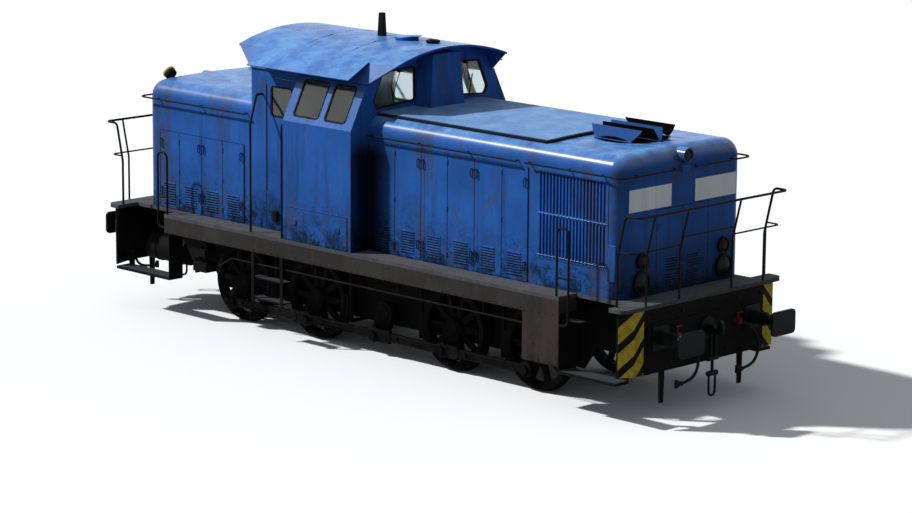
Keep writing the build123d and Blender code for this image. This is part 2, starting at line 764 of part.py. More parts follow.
roof_cant_run = cab_top_half_width - roof_fold_half_width
roof_cant_slope = hypot(roof_cant_run, roof_fold_z - cab_top_z)
wall_top_z = cab_top_z - roof_sheet * roof_cant_run / roof_cant_slope - seat_gap
side_lean = (cab_half_width - cab_top_half_width) / (cab_top_z - cab_waist_z)
wall_top_half_width = cab_half_width - side_lean * (wall_top_z - cab_waist_z)
inner_waist_z = cab_waist_z + cab_wall * tan(atan2(side_lean, 1) / 2)


def cab_side_outline():
    """Outline of the wide part of a side in (y, z): upright to the waist, then leaning in."""
    wall = cab_wall
    return [(-cab_half_width, deck_z), (-cab_half_width, cab_waist_z),
            (-wall_top_half_width, wall_top_z), (-wall_top_half_width + wall, wall_top_z),
            (-cab_half_width + wall, inner_waist_z), (-cab_half_width + wall, deck_z)]


threshold = 30
door_low_z = deck_z + threshold + moving_gap
door_top_z = rail + 3540
door_hinge_gap = 8
recess_y = 1160
door_thickness = 40
door_pin_radius = 7
door_pin_length = 26
door_pin_x = door_rear_x + 16
door_pin_y = -recess_y + door_thickness - 8
side_windows = ((-1100, -593), (-503, -82))
side_window_sill = 75
side_window_top_margin = 40
window_corner = 60


def leaning_plane():
    """A plane on the outside of the leaning upper side, its x along X and its y up the slope."""
    rise = cab_top_z - cab_waist_z
    run = cab_half_width - cab_top_half_width
    return Plane(origin=(0, -cab_half_width, cab_waist_z), x_dir=(1, 0, 0), z_dir=(0, -rise, run))


def make_cab_side():
    """Wide side wall with two windows, the set-back wall with the doorway, and the jamb between."""
    slope = hypot(cab_top_z - cab_waist_z, cab_half_width - cab_top_half_width)
    wall = cross_plate(cab_side_outline(), cab_door_wall_x, cab_front_x)
    for x0, x1 in side_windows:
        low, high = side_window_sill, slope - side_window_top_margin
        hole = Pos((x0 + x1) / 2, (low + high) / 2) * RectangleRounded(x1 - x0, high - low,
                                                                       window_corner)
        wall -= extrude(leaning_plane() * hole, amount=120, both=True)
    jamb_outline = [(-cab_half_width + 5, deck_z), (-cab_half_width + 5, cab_waist_z),
                    (-wall_top_half_width + 5, wall_top_z), (-recess_y + cab_wall, wall_top_z),
                    (-recess_y + cab_wall, deck_z)]
    jamb = cross_plate(jamb_outline, cab_door_wall_x, cab_door_wall_x + cab_wall)
    recess = slab(cab_rear_x, cab_door_wall_x + cab_wall, -recess_y, -recess_y + cab_wall,
                  deck_z, wall_top_z)
    doorway = slab(door_rear_x - door_hinge_gap, door_front_x + moving_gap, -recess_y - 5,
                   -recess_y + cab_wall + 5, deck_z + threshold, door_top_z + moving_gap)
    side = wall + jamb + recess - doorway
    for z0, z1 in ((door_low_z - door_pin_length - 2, door_low_z),
                   (door_top_z, door_top_z + door_pin_length + 2)):
        side -= upright(z0, z1, door_pin_x, door_pin_y, door_pin_radius + hinge_play)
    return side


door_window_x = (-1845, -1400)
door_window_z = (rail + 3010, rail + 3440)


def make_cab_door():
    """Cab door with its window, flush in the set-back wall."""
    door = slab(door_rear_x, door_front_x, -recess_y, -recess_y + door_thickness,
                door_low_z, door_top_z)
    door += upright(door_low_z - door_pin_length, door_top_z + door_pin_length, door_pin_x,
                    door_pin_y, door_pin_radius)
    x0, x1 = door_window_x
    z0, z1 = door_window_z
    hole = Pos((x0 + x1) / 2, -recess_y + door_thickness / 2, (z0 + z1) / 2) * Rot(90, 0, 0)
    door -= hole * extrude(RectangleRounded(x1 - x0, z1 - z0, window_corner), amount=60, both=True)
    return door


end_window = ((290, 3355), (300, 3830), (905, 3800), (1080, 3420), (1020, 3300))


def roof_arc_z(y):
    """Height of the roof's outside at a place across it."""
    drop = roof_crown_z - roof_fold_z
    return roof_crown_z - drop * (y / roof_fold_half_width) ** 2


def make_end_wall(x0, x1, corners):
    """Front or rear cab wall inside the side walls; corners are (half width, height) up a side."""
    top = [(y, roof_arc_z(y) - roof_sheet - 3) for y in (-1000, -500, 0, 500, 1000)]
    outline = [(-y, z) for y, z in corners] + top + [(y, z) for y, z in reversed(corners)]
    wall = cross_plate(outline, x0, x1)
    for side in (1, -1):
        points = [(side * y, rail + z) for y, z in end_window]
        hole = cross_plate(points, x0 - 5, x1 + 5)
        hole = fillet(hole.edges().filter_by(Axis.X), window_corner * 0.8)
        wall -= hole
    return wall


def make_cab_roof():
    """Curved roof sheet with sloping cants that taper out to the overhanging ends."""
    ys = (-roof_fold_half_width, 0, roof_fold_half_width)
    outer = [(roof_rear_x, y, roof_arc_z(y)) for y in ys]
    inner = [(roof_rear_x, y, roof_arc_z(y) - roof_sheet) for y in ys]
    outline = (ThreePointArc(*outer) + Line(outer[2], inner[2])
               + ThreePointArc(inner[2], inner[1], inner[0]) + Line(inner[0], outer[0]))
    roof = extrude(make_face(outline), amount=roof_front_x - roof_rear_x, dir=(1, 0, 0))
    run = cab_top_half_width - roof_fold_half_width
    drop = roof_fold_z - cab_top_z
    slope = hypot(run, drop)
    plane = Plane(origin=(0, -roof_fold_half_width, roof_fold_z), x_dir=(1, 0, 0),
                  z_dir=(0, -drop, run))
    cant = Polyline((roof_rear_x, 0), (roof_front_x, 0), (cab_front_x, -slope),
                    (cab_rear_x, -slope), close=True)
    panel = extrude(plane * make_face(cant), amount=-roof_sheet)
    return roof + panel + mirrored(panel)


def make_sun_visor():
    """Sloping plate along the edge of the roof over the side windows."""
    run = visor_half_width - roof_fold_half_width
    drop = roof_fold_z - visor_z
    slope = hypot(run, drop)
    plane = Plane(origin=(0, -roof_fold_half_width, roof_fold_z + seat_gap), x_dir=(1, 0, 0),
                  z_dir=(0, -drop, run))
    outline = Polyline((visor_rear_x - 60, 0), (visor_front_x - 20, 0), (visor_front_x, -slope),
                       (visor_rear_x + 20, -slope), close=True)
    return extrude(plane * make_face(outline), amount=visor_sheet)


def make_cab_floor():
    """Raised floor of the cab."""
    return slab(cab_rear_x + cab_wall, cab_front_x - cab_wall, -recess_y + cab_wall,
                recess_y - cab_wall, deck_z, deck_z + threshold)


def make_console():
    """Driver's desk against the front wall."""
    outline = [(cab_front_x - cab_wall, deck_z + threshold), (-520, deck_z + threshold), (-520, rail + 2350),
               (-430, rail + 2480), (-120, rail + 2620), (cab_front_x - cab_wall, rail + 2620)]
    return side_plate(outline, -560, 560)


shaft_front_x = 380
shaft_half_width = 320


def make_exhaust_shaft():
    """Tapered duct on the hood in front of the cab that carries the exhaust over the roof."""
    base_z = hood_crown_z - 60
    top_z = roof_crown_z - 110
    depth = shaft_front_x - cab_front_x - 20
    low = Plane(origin=(cab_front_x + 10 + depth / 2, 0, base_z)) * Rectangle(
        depth, 2 * shaft_half_width)
    high = Plane(origin=(cab_front_x + 10 + depth * 0.45, 0, top_z)) * Rectangle(
        depth * 0.9, 1.6 * shaft_half_width)
    return loft([low, high]) - hood_form(long_hood_x, cab_front_x - 1, -seat_gap)


# ---------------------------------------------------------------- rails, lamps and roof fittings

rail_tube = 16
rail_post_tube = 14
rail_low_tube = 11
rail_top_z = rail + 2600
rail_bend_z = rail + 2075
rail_mid_z = rail + 2145
rail_gate_z = rail + 2247
rail_post_x = 4884
rail_top_x = 5012
rail_posts_y = (497, 1116)
rail_corner_post = (4668, 1405)
rail_corner_top_x = 4790


def make_railing():
    """End railing: posts that lean out above the middle, a top rail and lower rails."""
    posts = []
    for y in rail_posts_y:
        for side in (1, -1):
            posts.append(bent_tube([(rail_post_x, side * y, deck_z),
                                    (rail_post_x, side * y, rail_bend_z),
                                    (rail_top_x, side * y, rail_top_z)], rail_post_tube, 150))
    corner_x, corner_y = rail_corner_post
    points = [(corner_x, -corner_y, deck_z), (corner_x, -corner_y, rail_bend_z),
              (rail_corner_top_x, -corner_y, rail_top_z), (rail_top_x, -corner_y, rail_top_z),
              (rail_top_x, corner_y, rail_top_z), (rail_corner_top_x, corner_y, rail_top_z),
              (corner_x, corner_y, rail_bend_z), (corner_x, corner_y, deck_z)]
    hoop = bent_tube(points, rail_tube, 70)
    reach = (rail_mid_z - rail_bend_z) / (rail_top_z - rail_bend_z)
    mid_x = rail_post_x + reach * (rail_top_x - rail_post_x)
    mid_corner_x = corner_x + reach * (rail_corner_top_x - corner_x)
    lower = bent_tube([(mid_corner_x, -corner_y, rail_mid_z), (mid_x, -corner_y, rail_mid_z),
                       (mid_x, -rail_posts_y[0], rail_mid_z)], rail_low_tube, 70)
    reach = (rail_gate_z - rail_bend_z) / (rail_top_z - rail_bend_z)
    gate_x = rail_post_x + reach * (rail_top_x - rail_post_x)
    gate = along_y(-rail_posts_y[0], rail_posts_y[0], gate_x, rail_gate_z, rail_low_tube)
    railing = hoop + lower + mirrored(lower) + gate
    for post in posts:
        railing += post
    return railing


lamp_y = 780
headlamp_z = rail + 1650
tail_lamp_y = 770
tail_lamp_z = rail + 1918


def make_end_lamps(face_x):
    """Head and tail lamps on a hood end: short rimmed drums."""
    side = 1 if face_x > 0 else -1
    lamps = []
    for y, z, radius in ((lamp_y, headlamp_z, 145), (tail_lamp_y, tail_lamp_z, 102)):
        drum = along_x(face_x, face_x + side * 45, -y, z, radius)
        drum -= along_x(face_x + side * 30, face_x + side * 50, -y, z, radius - 22)
        lamps += both_sides(drum).solids()
    return lamps


top_lamp_z = rail + 3150


def make_top_lamp(face_x, near_x):
    """Upper headlamp in a round housing that grows out of the hood's rounded edge."""
    side = 1 if face_x > 0 else -1
    housing = along_x(face_x - side * 190, face_x + side * 75, 0, top_lamp_z, 95)
    housing -= along_x(face_x + side * 50, face_x + side * 80, 0, top_lamp_z, 78)
    return housing - hood_form(face_x, near_x, -seat_gap)


# ---------------------------------------------------------------- lid, flaps and roof fittings

lid_x = (cab_front_x + 8, 3090)
lid_half_width = 970
lid_height = 34


def make_hood_lid():
    """Long lift-off cover on top of the long hood, following its crown."""
    drop = (hood_crown_z - hood_shoulder_z) * (lid_half_width / hood_half_width) ** 2
    edge_z = hood_crown_z - drop
    top = [(lid_x[0], y, z + lid_height) for y, z in
           ((-lid_half_width, edge_z), (0, hood_crown_z), (lid_half_width, edge_z))]
    base = [(lid_x[0], -lid_half_width, hood_shoulder_z - 60),
            (lid_x[0], lid_half_width, hood_shoulder_z - 60)]
    outline = (ThreePointArc(*top) + Line(top[2], base[1]) + Line(base[1], base[0])
               + Line(base[0], top[0]))
    lid = extrude(make_face(outline), amount=lid_x[1] - lid_x[0], dir=(1, 0, 0))
    lid -= hood_form(long_hood_x, cab_front_x - 1, -seat_gap)
    notch = slab(lid_x[0] - 5, shaft_front_x, -shaft_half_width - 10, shaft_half_width + 10,
                 hood_shoulder_z - 80, hood_crown_z + 60)
    return lid - notch


# Fan flaps, two pairs of trap doors: hinge line across the opening, side that the free edge lay
# on when shut, opening angle and rise of the arch in the hinge edge.
flap_table = ((-365, 1, 64, 45), (-18, -1, 66, 0), (18, 1, 66, 0), (365, -1, 78, 45))
flap_width = 172
flap_sheet = 6
flap_rod_radius = 8
flap_rod_overlap = 30


def make_fan_flaps():
    """Sheets cut from the disc that covers the fan opening, each standing open on its hinge rod."""
    flaps = []
    for hinge_y, side, angle, arch in flap_table:
        surface_z = hood_crown_z - (hood_crown_z - hood_shoulder_z) * (hinge_y / hood_half_width) ** 2
        rod_z = surface_z + flap_rod_radius + seat_gap
        half = (fan_radius ** 2 - hinge_y ** 2) ** 0.5
        free_y = hinge_y + side * flap_width
        free_half = (fan_radius ** 2 - free_y ** 2) ** 0.5
        mid_half = (fan_radius ** 2 - (hinge_y + side * flap_width / 2) ** 2) ** 0.5
        if arch:
            foot = ThreePointArc((-half, 0), (0, arch), (half, 0))
        else:
            foot = Line((-half, 0), (half, 0))
        outline = (foot + ThreePointArc((half, 0), (mid_half, flap_width / 2), (free_half, flap_width))
                   + Line((free_half, flap_width), (-free_half, flap_width))
                   + ThreePointArc((-free_half, flap_width), (-mid_half, flap_width / 2), (-half, 0)))
        up = (0, side * cos(radians(angle)), sin(radians(angle)))
        hinge_plane = Plane(origin=(fan_x, hinge_y, rod_z), x_dir=(1, 0, 0),
                            z_dir=(0, -up[2], up[1]))
        sheet = extrude(hinge_plane * make_face(outline), amount=flap_sheet / 2, both=True)
        reach = half + flap_rod_overlap
        rod = along_x(fan_x - reach, fan_x + reach, hinge_y, rod_z, flap_rod_radius)
        flaps += (sheet + rod).solids()
    return Compound(flaps)


horn_foot = (-4330, 800)
horn_axis_rise = 35
horn_radius = 88
horn_length = 75
horn_stem_radius = 28


def make_horns():
    """Two round horns on the rear edge of the short hood; they face backwards and up."""
    x, y = horn_foot
    centre_z = hood_shoulder_z + 62
    drum = Pos(x, -y, centre_z) * Rot(0, horn_axis_rise - 90, 0) * (
        Cylinder(horn_radius, horn_length) + Pos(0, 0, horn_length / 2 + 10) * Cylinder(
            horn_radius + 6, 20))
    stem = upright(hood_shoulder_z - 120, centre_z, x + 20, -y, horn_stem_radius)
    return both_sides(drum + stem - hood_form(short_hood_x, cab_rear_x, -seat_gap)).solids()


# Roof fittings along the ridge: place, half length, half width, height and shape.
def make_roof_vents():
    """A tapered stub, a mushroom vent and a low ring on the ridge of the cab roof."""
    foot = roof_crown_z - 2
    stub = loft([Plane(origin=(-888, 0, foot)) * Rectangle(125, 125),
                 Plane(origin=(-888, 0, foot + 315)) * Rectangle(95, 95)])
    neck = upright(foot, foot + 80, -409, 0, 90)
    cap = upright(foot + 80, foot + 130, -409, 0, 165)
    ring = upright(foot, foot + 45, 82, 0, 92)
    roof = make_cab_roof()
    return [piece - roof for piece in (stub, neck + cap, ring)]


# ---------------------------------------------------------------- handrails

hood_rail_z = rail + 3000
hood_rail_y = 1235
hood_rail_tube = 12
hood_rail_stand = 75
bracket_bar = 9


def hood_rail_run(points, brackets):
    """One handrail and the short bars that hold it off the hood."""
    run = bent_tube([(x, y, hood_rail_z) for x, y in points], hood_rail_tube, 120)
    for x, y, dx, dy in brackets:
        span = (hood_rail_stand)
        if dx:
            run += along_x(x, x - dx * span, y, hood_rail_z, bracket_bar)
        else:
            run += along_y(y, y - dy * span, x, hood_rail_z, bracket_bar)
    return run


def make_hood_handrails():
    """Handrails along the hood sides, wrapped round the outer corners up to the top lamps."""
    y = hood_rail_y
    front = long_hood_x + hood_rail_stand
    rear = short_hood_x - hood_rail_stand
    side_run = hood_rail_run([(115, -y), (2790, -y)],
                             [(x, -y, 0, -1) for x in (140, 1020, 1900, 2765)])
    front_run = hood_rail_run([(2950, -y), (front, -y), (front, -135)],
                              [(x, -y, 0, -1) for x in (2975, 3650, 4200)]
                              + [(front, -900, 1, 0), (front, -200, 1, 0)])
    rear_run = hood_rail_run([(cab_rear_x - 60, -y), (rear, -y), (rear, -135)],
                             [(x, -y, 0, -1) for x in (cab_rear_x - 90, -3250, -4150)]
                             + [(rear, -900, -1, 0), (rear, -200, -1, 0)])
    return [both_sides(run) for run in (side_run, front_run, rear_run)]


grab_tube = 15
grab_y = sill_half_width - 17
grab_top_z = rail + 2321
grab_bar_z = rail + 1695


def make_grab_handles():
    """Hoops beside the steps: one leg on the running board, the other down into the well."""
    y = -grab_y
    front = bent_tube([(3728, y, deck_z), (3728, y, grab_top_z), (3925, y, grab_top_z),
                       (3925, y, rail + 1100), (sill_front_x + step_plate, y, rail + 1100)],
                      grab_tube, 75)
    front += along_x(3728, 3925, y, grab_bar_z, grab_tube - 3)
    rear = bent_tube([(-3640, y, deck_z), (-3640, y, grab_top_z), (-3835, y, grab_top_z),
                      (-3835, y, sill_bottom_z + 70), (sill_rear_x, y, sill_bottom_z + 70)],
                     grab_tube, 75)
    rear += along_x(-3640, -3835, y, grab_bar_z, grab_tube - 3)
    return [both_sides(front), both_sides(rear)]


def make_cab_handrails():
    """The two posts that flank each cab door, bent in to the walls at their tops."""
    y = -grab_y
    rear = bent_tube([(door_rear_x + 16, y, deck_z), (door_rear_x + 16, y, rail + 2939),
                      (-2000, -recess_y - 110, rail + 3305), (-2000, -recess_y, rail + 3305)],
                     grab_tube, 50)
    front = bent_tube([(cab_door_wall_x - 49, y + 6, deck_z), (cab_door_wall_x - 49, y + 6, rail + 3000),
                       (cab_door_wall_x, y + 6, rail + 3000)], grab_tube, 30)
    return [both_sides(rear), both_sides(front)]


# ---------------------------------------------------------------- brake cocks and hoses

hose_radius = 19
cock_x = headstock_x + buffer_pad + 55
# Route of a hose in (y, z) from its cock, with z above the rail.
hose_route = ((0, 1030), (145, 960), (295, 845), (360, 690), (325, 530), (200, 430), (25, 420))
hose_ys = (("left", 600), ("right", -560))
head_length = 90


def hose_points(y):
    """Corner points of a hose's route."""
    return [(cock_x + 25 * index / (len(hose_route) - 1), y + dy, rail + z)
            for index, (dy, z) in enumerate(hose_route)]


def make_hose(y, report=False):
    """A brake hose: straight runs joined by arcs as large as the runs allow."""
    points = [Vector(*point) for point in hose_points(y)]
    runs = [(b - a).length for a, b in zip(points, points[1:])]
    radii = []
    for index in range(1, len(points) - 1):
        before = points[index] - points[index - 1]
        after = points[index + 1] - points[index]
        turn = radians(before.get_angle(after))
        radii.append(0.45 * min(runs[index - 1], runs[index]) / tan(turn / 2))
    path = FilletPolyline(*points, radius=radii)
    if report:
        print("hose radii", [round(radius) for radius in radii], "length", round(path.length))
    return sweep(Plane(origin=path @ 0, z_dir=path % 0) * Circle(hose_radius), path=path)


def make_brake_cocks():
    """Shut-off cocks on the headstock: a pipe stub, a body and a handle for each hose."""
    cocks = []
    for name, y in hose_ys:
        stub = along_x(headstock_x + buffer_pad, cock_x + 12, y - 40, rail + 1036, 22)
        body = slab(cock_x - 35, cock_x + 35, y - 68, y - 9, rail + 1004, rail + 1068)
        handle = slab(cock_x - 14, cock_x + 14, y - 60, y - 46, rail + 1050, rail + 1150)
        handle += slab(cock_x - 14, cock_x + 14, y - 60, y + 40, rail + 1138, rail + 1150)
        cocks += (stub + body + handle).solids()
    return Compound(cocks)


def make_hose_heads():
    """Coupling heads at the free ends of the hoses."""
    heads = []
    for name, y in hose_ys:
        end = hose_points(y)[-1]
        body = along_y(end[1] - head_length, end[1] - 1.5, end[0], end[2], 30)
        claw = slab(end[0] - 20, end[0] + 20, end[1] - head_length - 25, end[1] - head_length + 10,
                    end[2] - 45, end[2] + 55)
        heads += (body + claw).solids()
    return Compound(heads)


# ---------------------------------------------------------------- cab and underframe fittings

def make_side_hatches():
    """Battery hatch under the side windows, with two round locks."""
    panel = slab(-1185, 2, -cab_half_width - 7, -cab_half_width, deck_z + 18, rail + 1924)
    for x in (-1012, -177):
        panel += along_y(-cab_half_width - 20, -cab_half_width - 6, x, rail + 1732, 42)
    return panel


def make_seats():
    """Two seats: a post, a cushion and a back."""
    floor_z = deck_z + threshold
    seat = upright(floor_z, floor_z + 420, -900, -620, 50)
    seat += slab(-1120, -680, -850, -390, floor_z + 420, floor_z + 510)
    seat += slab(-1160, -1090, -840, -400, floor_z + 500, floor_z + 1010)
    return seat


def make_equipment():
    """Control boxes and a bracket that hang from the rear half of each sill."""
    y0, y1 = -sill_half_width + 45, -sill_half_width + 250
    bracket = side_plate([(-3449, sill_bottom_z), (-3063, sill_bottom_z), (-3063, rail + 950),
                          (-3200, rail + 849)], y0 + 60, y0 + 72)
    upper = slab(-3109, -2885, y0, y1, rail + 951, rail + 1058)
    upper += slab(-3080, -2910, y0 + 60, y0 + 72, rail + 1050, sill_bottom_z)
    lower = slab(-3160, -2888, y0 + 20, y1, rail + 735, rail + 867)
    lower += slab(-3040, -2960, y0 + 90, y0 + 110, rail + 860, rail + 955)
    return bracket + upper + lower


pipe_y = sill_half_width - 45
pipe_z = rail + 1030
pipe_radius = 11


def make_side_pipe():
    """Thin pipe along the outside of the rods, held by hangers from the sill."""
    pipe = bent_tube([(-2600, -pipe_y, rail + 880), (-2330, -pipe_y, pipe_z),
                      (sandbox_rear_x, -pipe_y, pipe_z)], pipe_radius, 80)
    for x in (-2200, -650, 900, 2450):
        pipe += upright(pipe_z, sill_bottom_z, x, -pipe_y, 7)
    return pipe


# ---------------------------------------------------------------- write every node

main_frame = make_main_frame()
write("main_frame", main_frame)
write("footplate", make_footplate())
write("side_sills", both_sides(make_side_sill()))
write("headstocks", end_pair(make_headstock()))
buffer_piece = make_buffer()
write("buffers", end_pair(both_sides(buffer_piece)))
write("draw_hooks", end_pair(make_draw_hook()))
coupling = make_screw_coupling()
write("screw_coupling_front", coupling)
write("screw_coupling_rear", Rot(0, 0, 180) * coupling)
write("sandboxes", both_sides(make_sandbox()))
write("corner_steps", make_corner_steps())
write("cab_steps", both_sides(make_cab_steps()))
write("air_reservoirs", both_sides(make_air_reservoirs()))
write("axleboxes", make_axleboxes())
write("leaf_springs", make_springs())
write("brake_gear", make_brake_gear())
write("gearbox", make_gearbox())

wheelset = make_wheelset()
for number, x in enumerate(axle_xs, start=1):
    write(f"wheelset_{number}", Pos(x, 0, axle_z) * wheelset)
write("jackshaft", Pos(jackshaft_x, 0, axle_z) * make_jackshaft())
write("coupling_rods_right", make_rods(crank_angle))
write("coupling_rods_left", mirrored(make_rods(crank_angle + 90)))

write("long_hood", make_long_hood())
write("short_hood", make_short_hood())
long_leaves = make_doors(long_leaf_edges, long_leaf_z)
short_leaves = make_doors(short_leaf_edges, short_leaf_z)
write("long_hood_doors", *[both_sides(leaf) for leaf in long_leaves])
write("short_hood_doors", *[both_sides(leaf) for leaf in short_leaves])
write("radiator_grilles", both_sides(make_grille()))
write("radiators", make_radiators())
write("roof_fan", make_fan())
write("engine", slab(*engine_x, -engine_half_width, engine_half_width, *engine_z))

write("cab_side_right", make_cab_side())
write("cab_side_left", mirrored(make_cab_side()))
write("cab_door_right", make_cab_door())
write("cab_door_left", mirrored(make_cab_door()))
front_half = cab_half_width - cab_wall
front_top_half = wall_top_half_width - cab_wall - seat_gap
write("cab_front_wall", make_end_wall(cab_front_x - cab_wall, cab_front_x,
                                      [(front_half, deck_z), (front_half, inner_waist_z - 1),
                                       (front_top_half, wall_top_z)]))
write("cab_rear_wall", make_end_wall(cab_rear_x, cab_rear_x + cab_wall,
                                     [(recess_y - cab_wall, deck_z),
                                      (recess_y - cab_wall, wall_top_z)]))
write("cab_roof", make_cab_roof())
write("sun_visors", both_sides(make_sun_visor()))
write("cab_floor", make_cab_floor())
write("console", make_console())
write("exhaust_shaft", make_exhaust_shaft())

write("hood_lid", make_hood_lid())
write("fan_flaps", make_fan_flaps())
write("roof_vents", *make_roof_vents(), *make_horns())
write("railings", end_pair(make_railing()))
write("hood_handrails", *make_hood_handrails())
write("cab_handrails", *make_cab_handrails())
write("grab_handles", *make_grab_handles())
write("side_hatches", both_sides(make_side_hatches()))
write("seats", both_sides(make_seats()))
write("equipment_boxes", both_sides(make_equipment()))
write("side_pipes", both_sides(make_side_pipe()))
write("brake_cocks", end_pair(make_brake_cocks()))
write("hose_heads", end_pair(make_hose_heads()))
for name, y in hose_ys:
    hose = make_hose(y, report=True)
    write(f"brake_hose_front_{name}", hose)
    write(f"brake_hose_rear_{name}", Rot(0, 0, 180) * hose)
write("hood_lamps", *make_end_lamps(long_hood_x), *make_end_lamps(short_hood_x),
      make_top_lamp(long_hood_x, cab_front_x), make_top_lamp(short_hood_x, cab_rear_x))
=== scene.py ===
import json
from math import cos, pi, radians, sin

import bmesh
import bpy
from mathutils import Matrix, Vector


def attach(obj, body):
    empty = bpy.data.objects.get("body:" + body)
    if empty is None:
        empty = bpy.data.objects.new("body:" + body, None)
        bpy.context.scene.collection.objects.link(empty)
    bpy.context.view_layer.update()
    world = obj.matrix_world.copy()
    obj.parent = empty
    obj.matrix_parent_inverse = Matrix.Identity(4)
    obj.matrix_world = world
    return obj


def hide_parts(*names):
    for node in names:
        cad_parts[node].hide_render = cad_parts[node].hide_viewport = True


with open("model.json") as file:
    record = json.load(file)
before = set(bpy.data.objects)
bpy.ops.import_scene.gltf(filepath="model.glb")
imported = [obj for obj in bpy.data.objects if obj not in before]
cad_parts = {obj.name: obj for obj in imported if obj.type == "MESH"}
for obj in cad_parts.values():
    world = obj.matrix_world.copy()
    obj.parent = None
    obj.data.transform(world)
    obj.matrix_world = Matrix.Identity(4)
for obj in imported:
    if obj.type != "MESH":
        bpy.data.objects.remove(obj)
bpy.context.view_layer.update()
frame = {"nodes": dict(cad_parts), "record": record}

# ------------------------ camera, light and floor
# A long lens from the right-hand front quarter, slightly above the roof. A broad sun from
# behind the right-hand side lights the flank and the tops, and a grey sky fills the shade.

camera_place = (30.392, -30.311, 9.966)
camera_turn = [radians(angle) for angle in (78.497, -0.439, 44.651)]
lens_length, film_width = 128.67, 36
sun_from = Vector((-0.60, -0.455, 0.66))
sun_strength, sun_width = 3.7, radians(2.5)
sky_grey = (0.88, 0.94, 1.0)
floor_white = (0.98, 0.98, 0.98)
floor_shade = (0.16, 0.15, 0.14)

bpy.ops.object.select_all(action="DESELECT")
bpy.ops.object.camera_add(location=camera_place, rotation=camera_turn)
camera = bpy.context.active_object
camera.data.lens = lens_length
camera.data.sensor_width = film_width
camera.data.clip_end = 400
bpy.context.scene.camera = camera
bpy.context.scene.view_settings.view_transform = "Standard"

bpy.ops.object.light_add(type="SUN", location=sun_from * 30,
                         rotation=sun_from.to_track_quat("Z", "Y").to_euler())
sun = bpy.context.active_object
sun.data.energy = sun_strength
sun.data.angle = sun_width


def feed(tree, node, inputs):
    """Links a node's inputs to the sockets that feed them, or gives them plain values."""
    for key, value in inputs.items():
        socket = node.inputs[key]
        if isinstance(value, bpy.types.NodeSocket):
            tree.links.new(value, socket)
        elif socket.type == "RGBA":
            socket.default_value = (*value, 1)
        else:
            socket.default_value = value


def add_node(tree, kind, inputs=None, **settings):
    """A new node of a tree, with its settings made and its inputs fed."""
    node = tree.nodes.new(f"ShaderNode{kind}")
    for name, setting in settings.items():
        setattr(node, name, setting)
    feed(tree, node, inputs or {})
    return node


def combine(tree, how, first, *others):
    """A Math node on one value, or a chain of them that takes in each further value."""
    total = first
    for other in others or (0,):
        total = add_node(tree, "Math", {0: total, 1: other}, operation=how).outputs[0]
    return total


def product(tree, *values):
    """Values multiplied together."""
    return combine(tree, "MULTIPLY", *values)


def new_paint(name):
    """A new material, its node tree and its shader."""
    paint = bpy.data.materials.new(name)
    paint.use_nodes = True
    return paint, paint.node_tree, paint.node_tree.nodes["Principled BSDF"]


def shown_and_given(tree, shown, given):
    """Shows one shader to the camera, in gloss and through glass, and lights with the other."""
    ray = add_node(tree, "LightPath").outputs
    shows = combine(tree, "MAXIMUM", ray["Is Camera Ray"], ray["Is Glossy Ray"],
                    ray["Is Transmission Ray"])
    mix = add_node(tree, "MixShader", {"Fac": shows, 1: given.outputs[0], 2: shown.outputs[0]})
    return mix.outputs[0]


sky = bpy.data.worlds.new("studio_sky")
bpy.context.scene.world = sky
sky.use_nodes = True
sky_tree = sky.node_tree
sky_tree.nodes.clear()
sky_fill = add_node(sky_tree, "Background", {"Color": sky_grey, "Strength": 0.30})
sky_seen = add_node(sky_tree, "Background", {"Color": (1, 1, 1), "Strength": 1.0})
add_node(sky_tree, "OutputWorld", {"Surface": shown_and_given(sky_tree, sky_seen, sky_fill)})

# The floor is pale to the eye and grey to the light that it throws back up.
bpy.ops.mesh.primitive_plane_add(size=400, location=(0, 0, 0))
floor = bpy.context.active_object
floor.name = "studio_floor"
floor_paint, floor_tree, floor_seen = new_paint("pale_floor")
feed(floor_tree, floor_seen, {"Base Color": floor_white, "Roughness": 0.95,
                              "Specular IOR Level": 0.0})
floor_bounce = add_node(floor_tree, "BsdfDiffuse", {"Color": floor_shade})
feed(floor_tree, floor_tree.nodes["Material Output"],
     {"Surface": shown_and_given(floor_tree, floor_seen, floor_bounce)})
floor.data.materials.append(floor_paint)

# ------------------------ brake hoses
# Rubber air hoses between each red cock and its coupling head: one smooth curve each,
# moulded rubber with a fabric braid under it, clamped at both ends.

nodes = frame["nodes"]
rail = 0.028  # the rail top stands this far above the foot of the wheel flanges
hose_radius = 0.019
hose_route = ((0, 1.030), (0.145, 0.960), (0.295, 0.845), (0.360, 0.690), (0.325, 0.530),
              (0.200, 0.430), (0.025, 0.420))  # across from the cock, above the rail
hose_lean = 0.025  # how much farther out the head hangs than the cock
cock_x = 4.960
hose_starts = (("left", 0.600), ("right", -0.560))


def surface_noise(tree, scale, detail=4, stretch=(1, 1, 1), rough=0.55):
    """Noise that reads Object coordinates, stretched along chosen axes; gives its 0 to 1 value."""
    place = add_node(tree, "TexCoord").outputs["Object"]
    turn = add_node(tree, "Mapping", {"Vector": place, "Scale": stretch})
    noise = add_node(tree, "TexNoise", {"Vector": turn.outputs["Vector"], "Scale": scale,
                                        "Detail": detail, "Roughness": rough})
    return noise.outputs["Fac"]


def place_axes(tree):
    """X, Y and Z of a place on the piece."""
    place = add_node(tree, "TexCoord").outputs["Object"]
    return add_node(tree, "SeparateXYZ", {0: place}).outputs


def facing_axes(tree):
    """X, Y and Z of the direction that the surface faces."""
    facing = add_node(tree, "NewGeometry").outputs["Normal"]
    return add_node(tree, "SeparateXYZ", {0: facing}).outputs


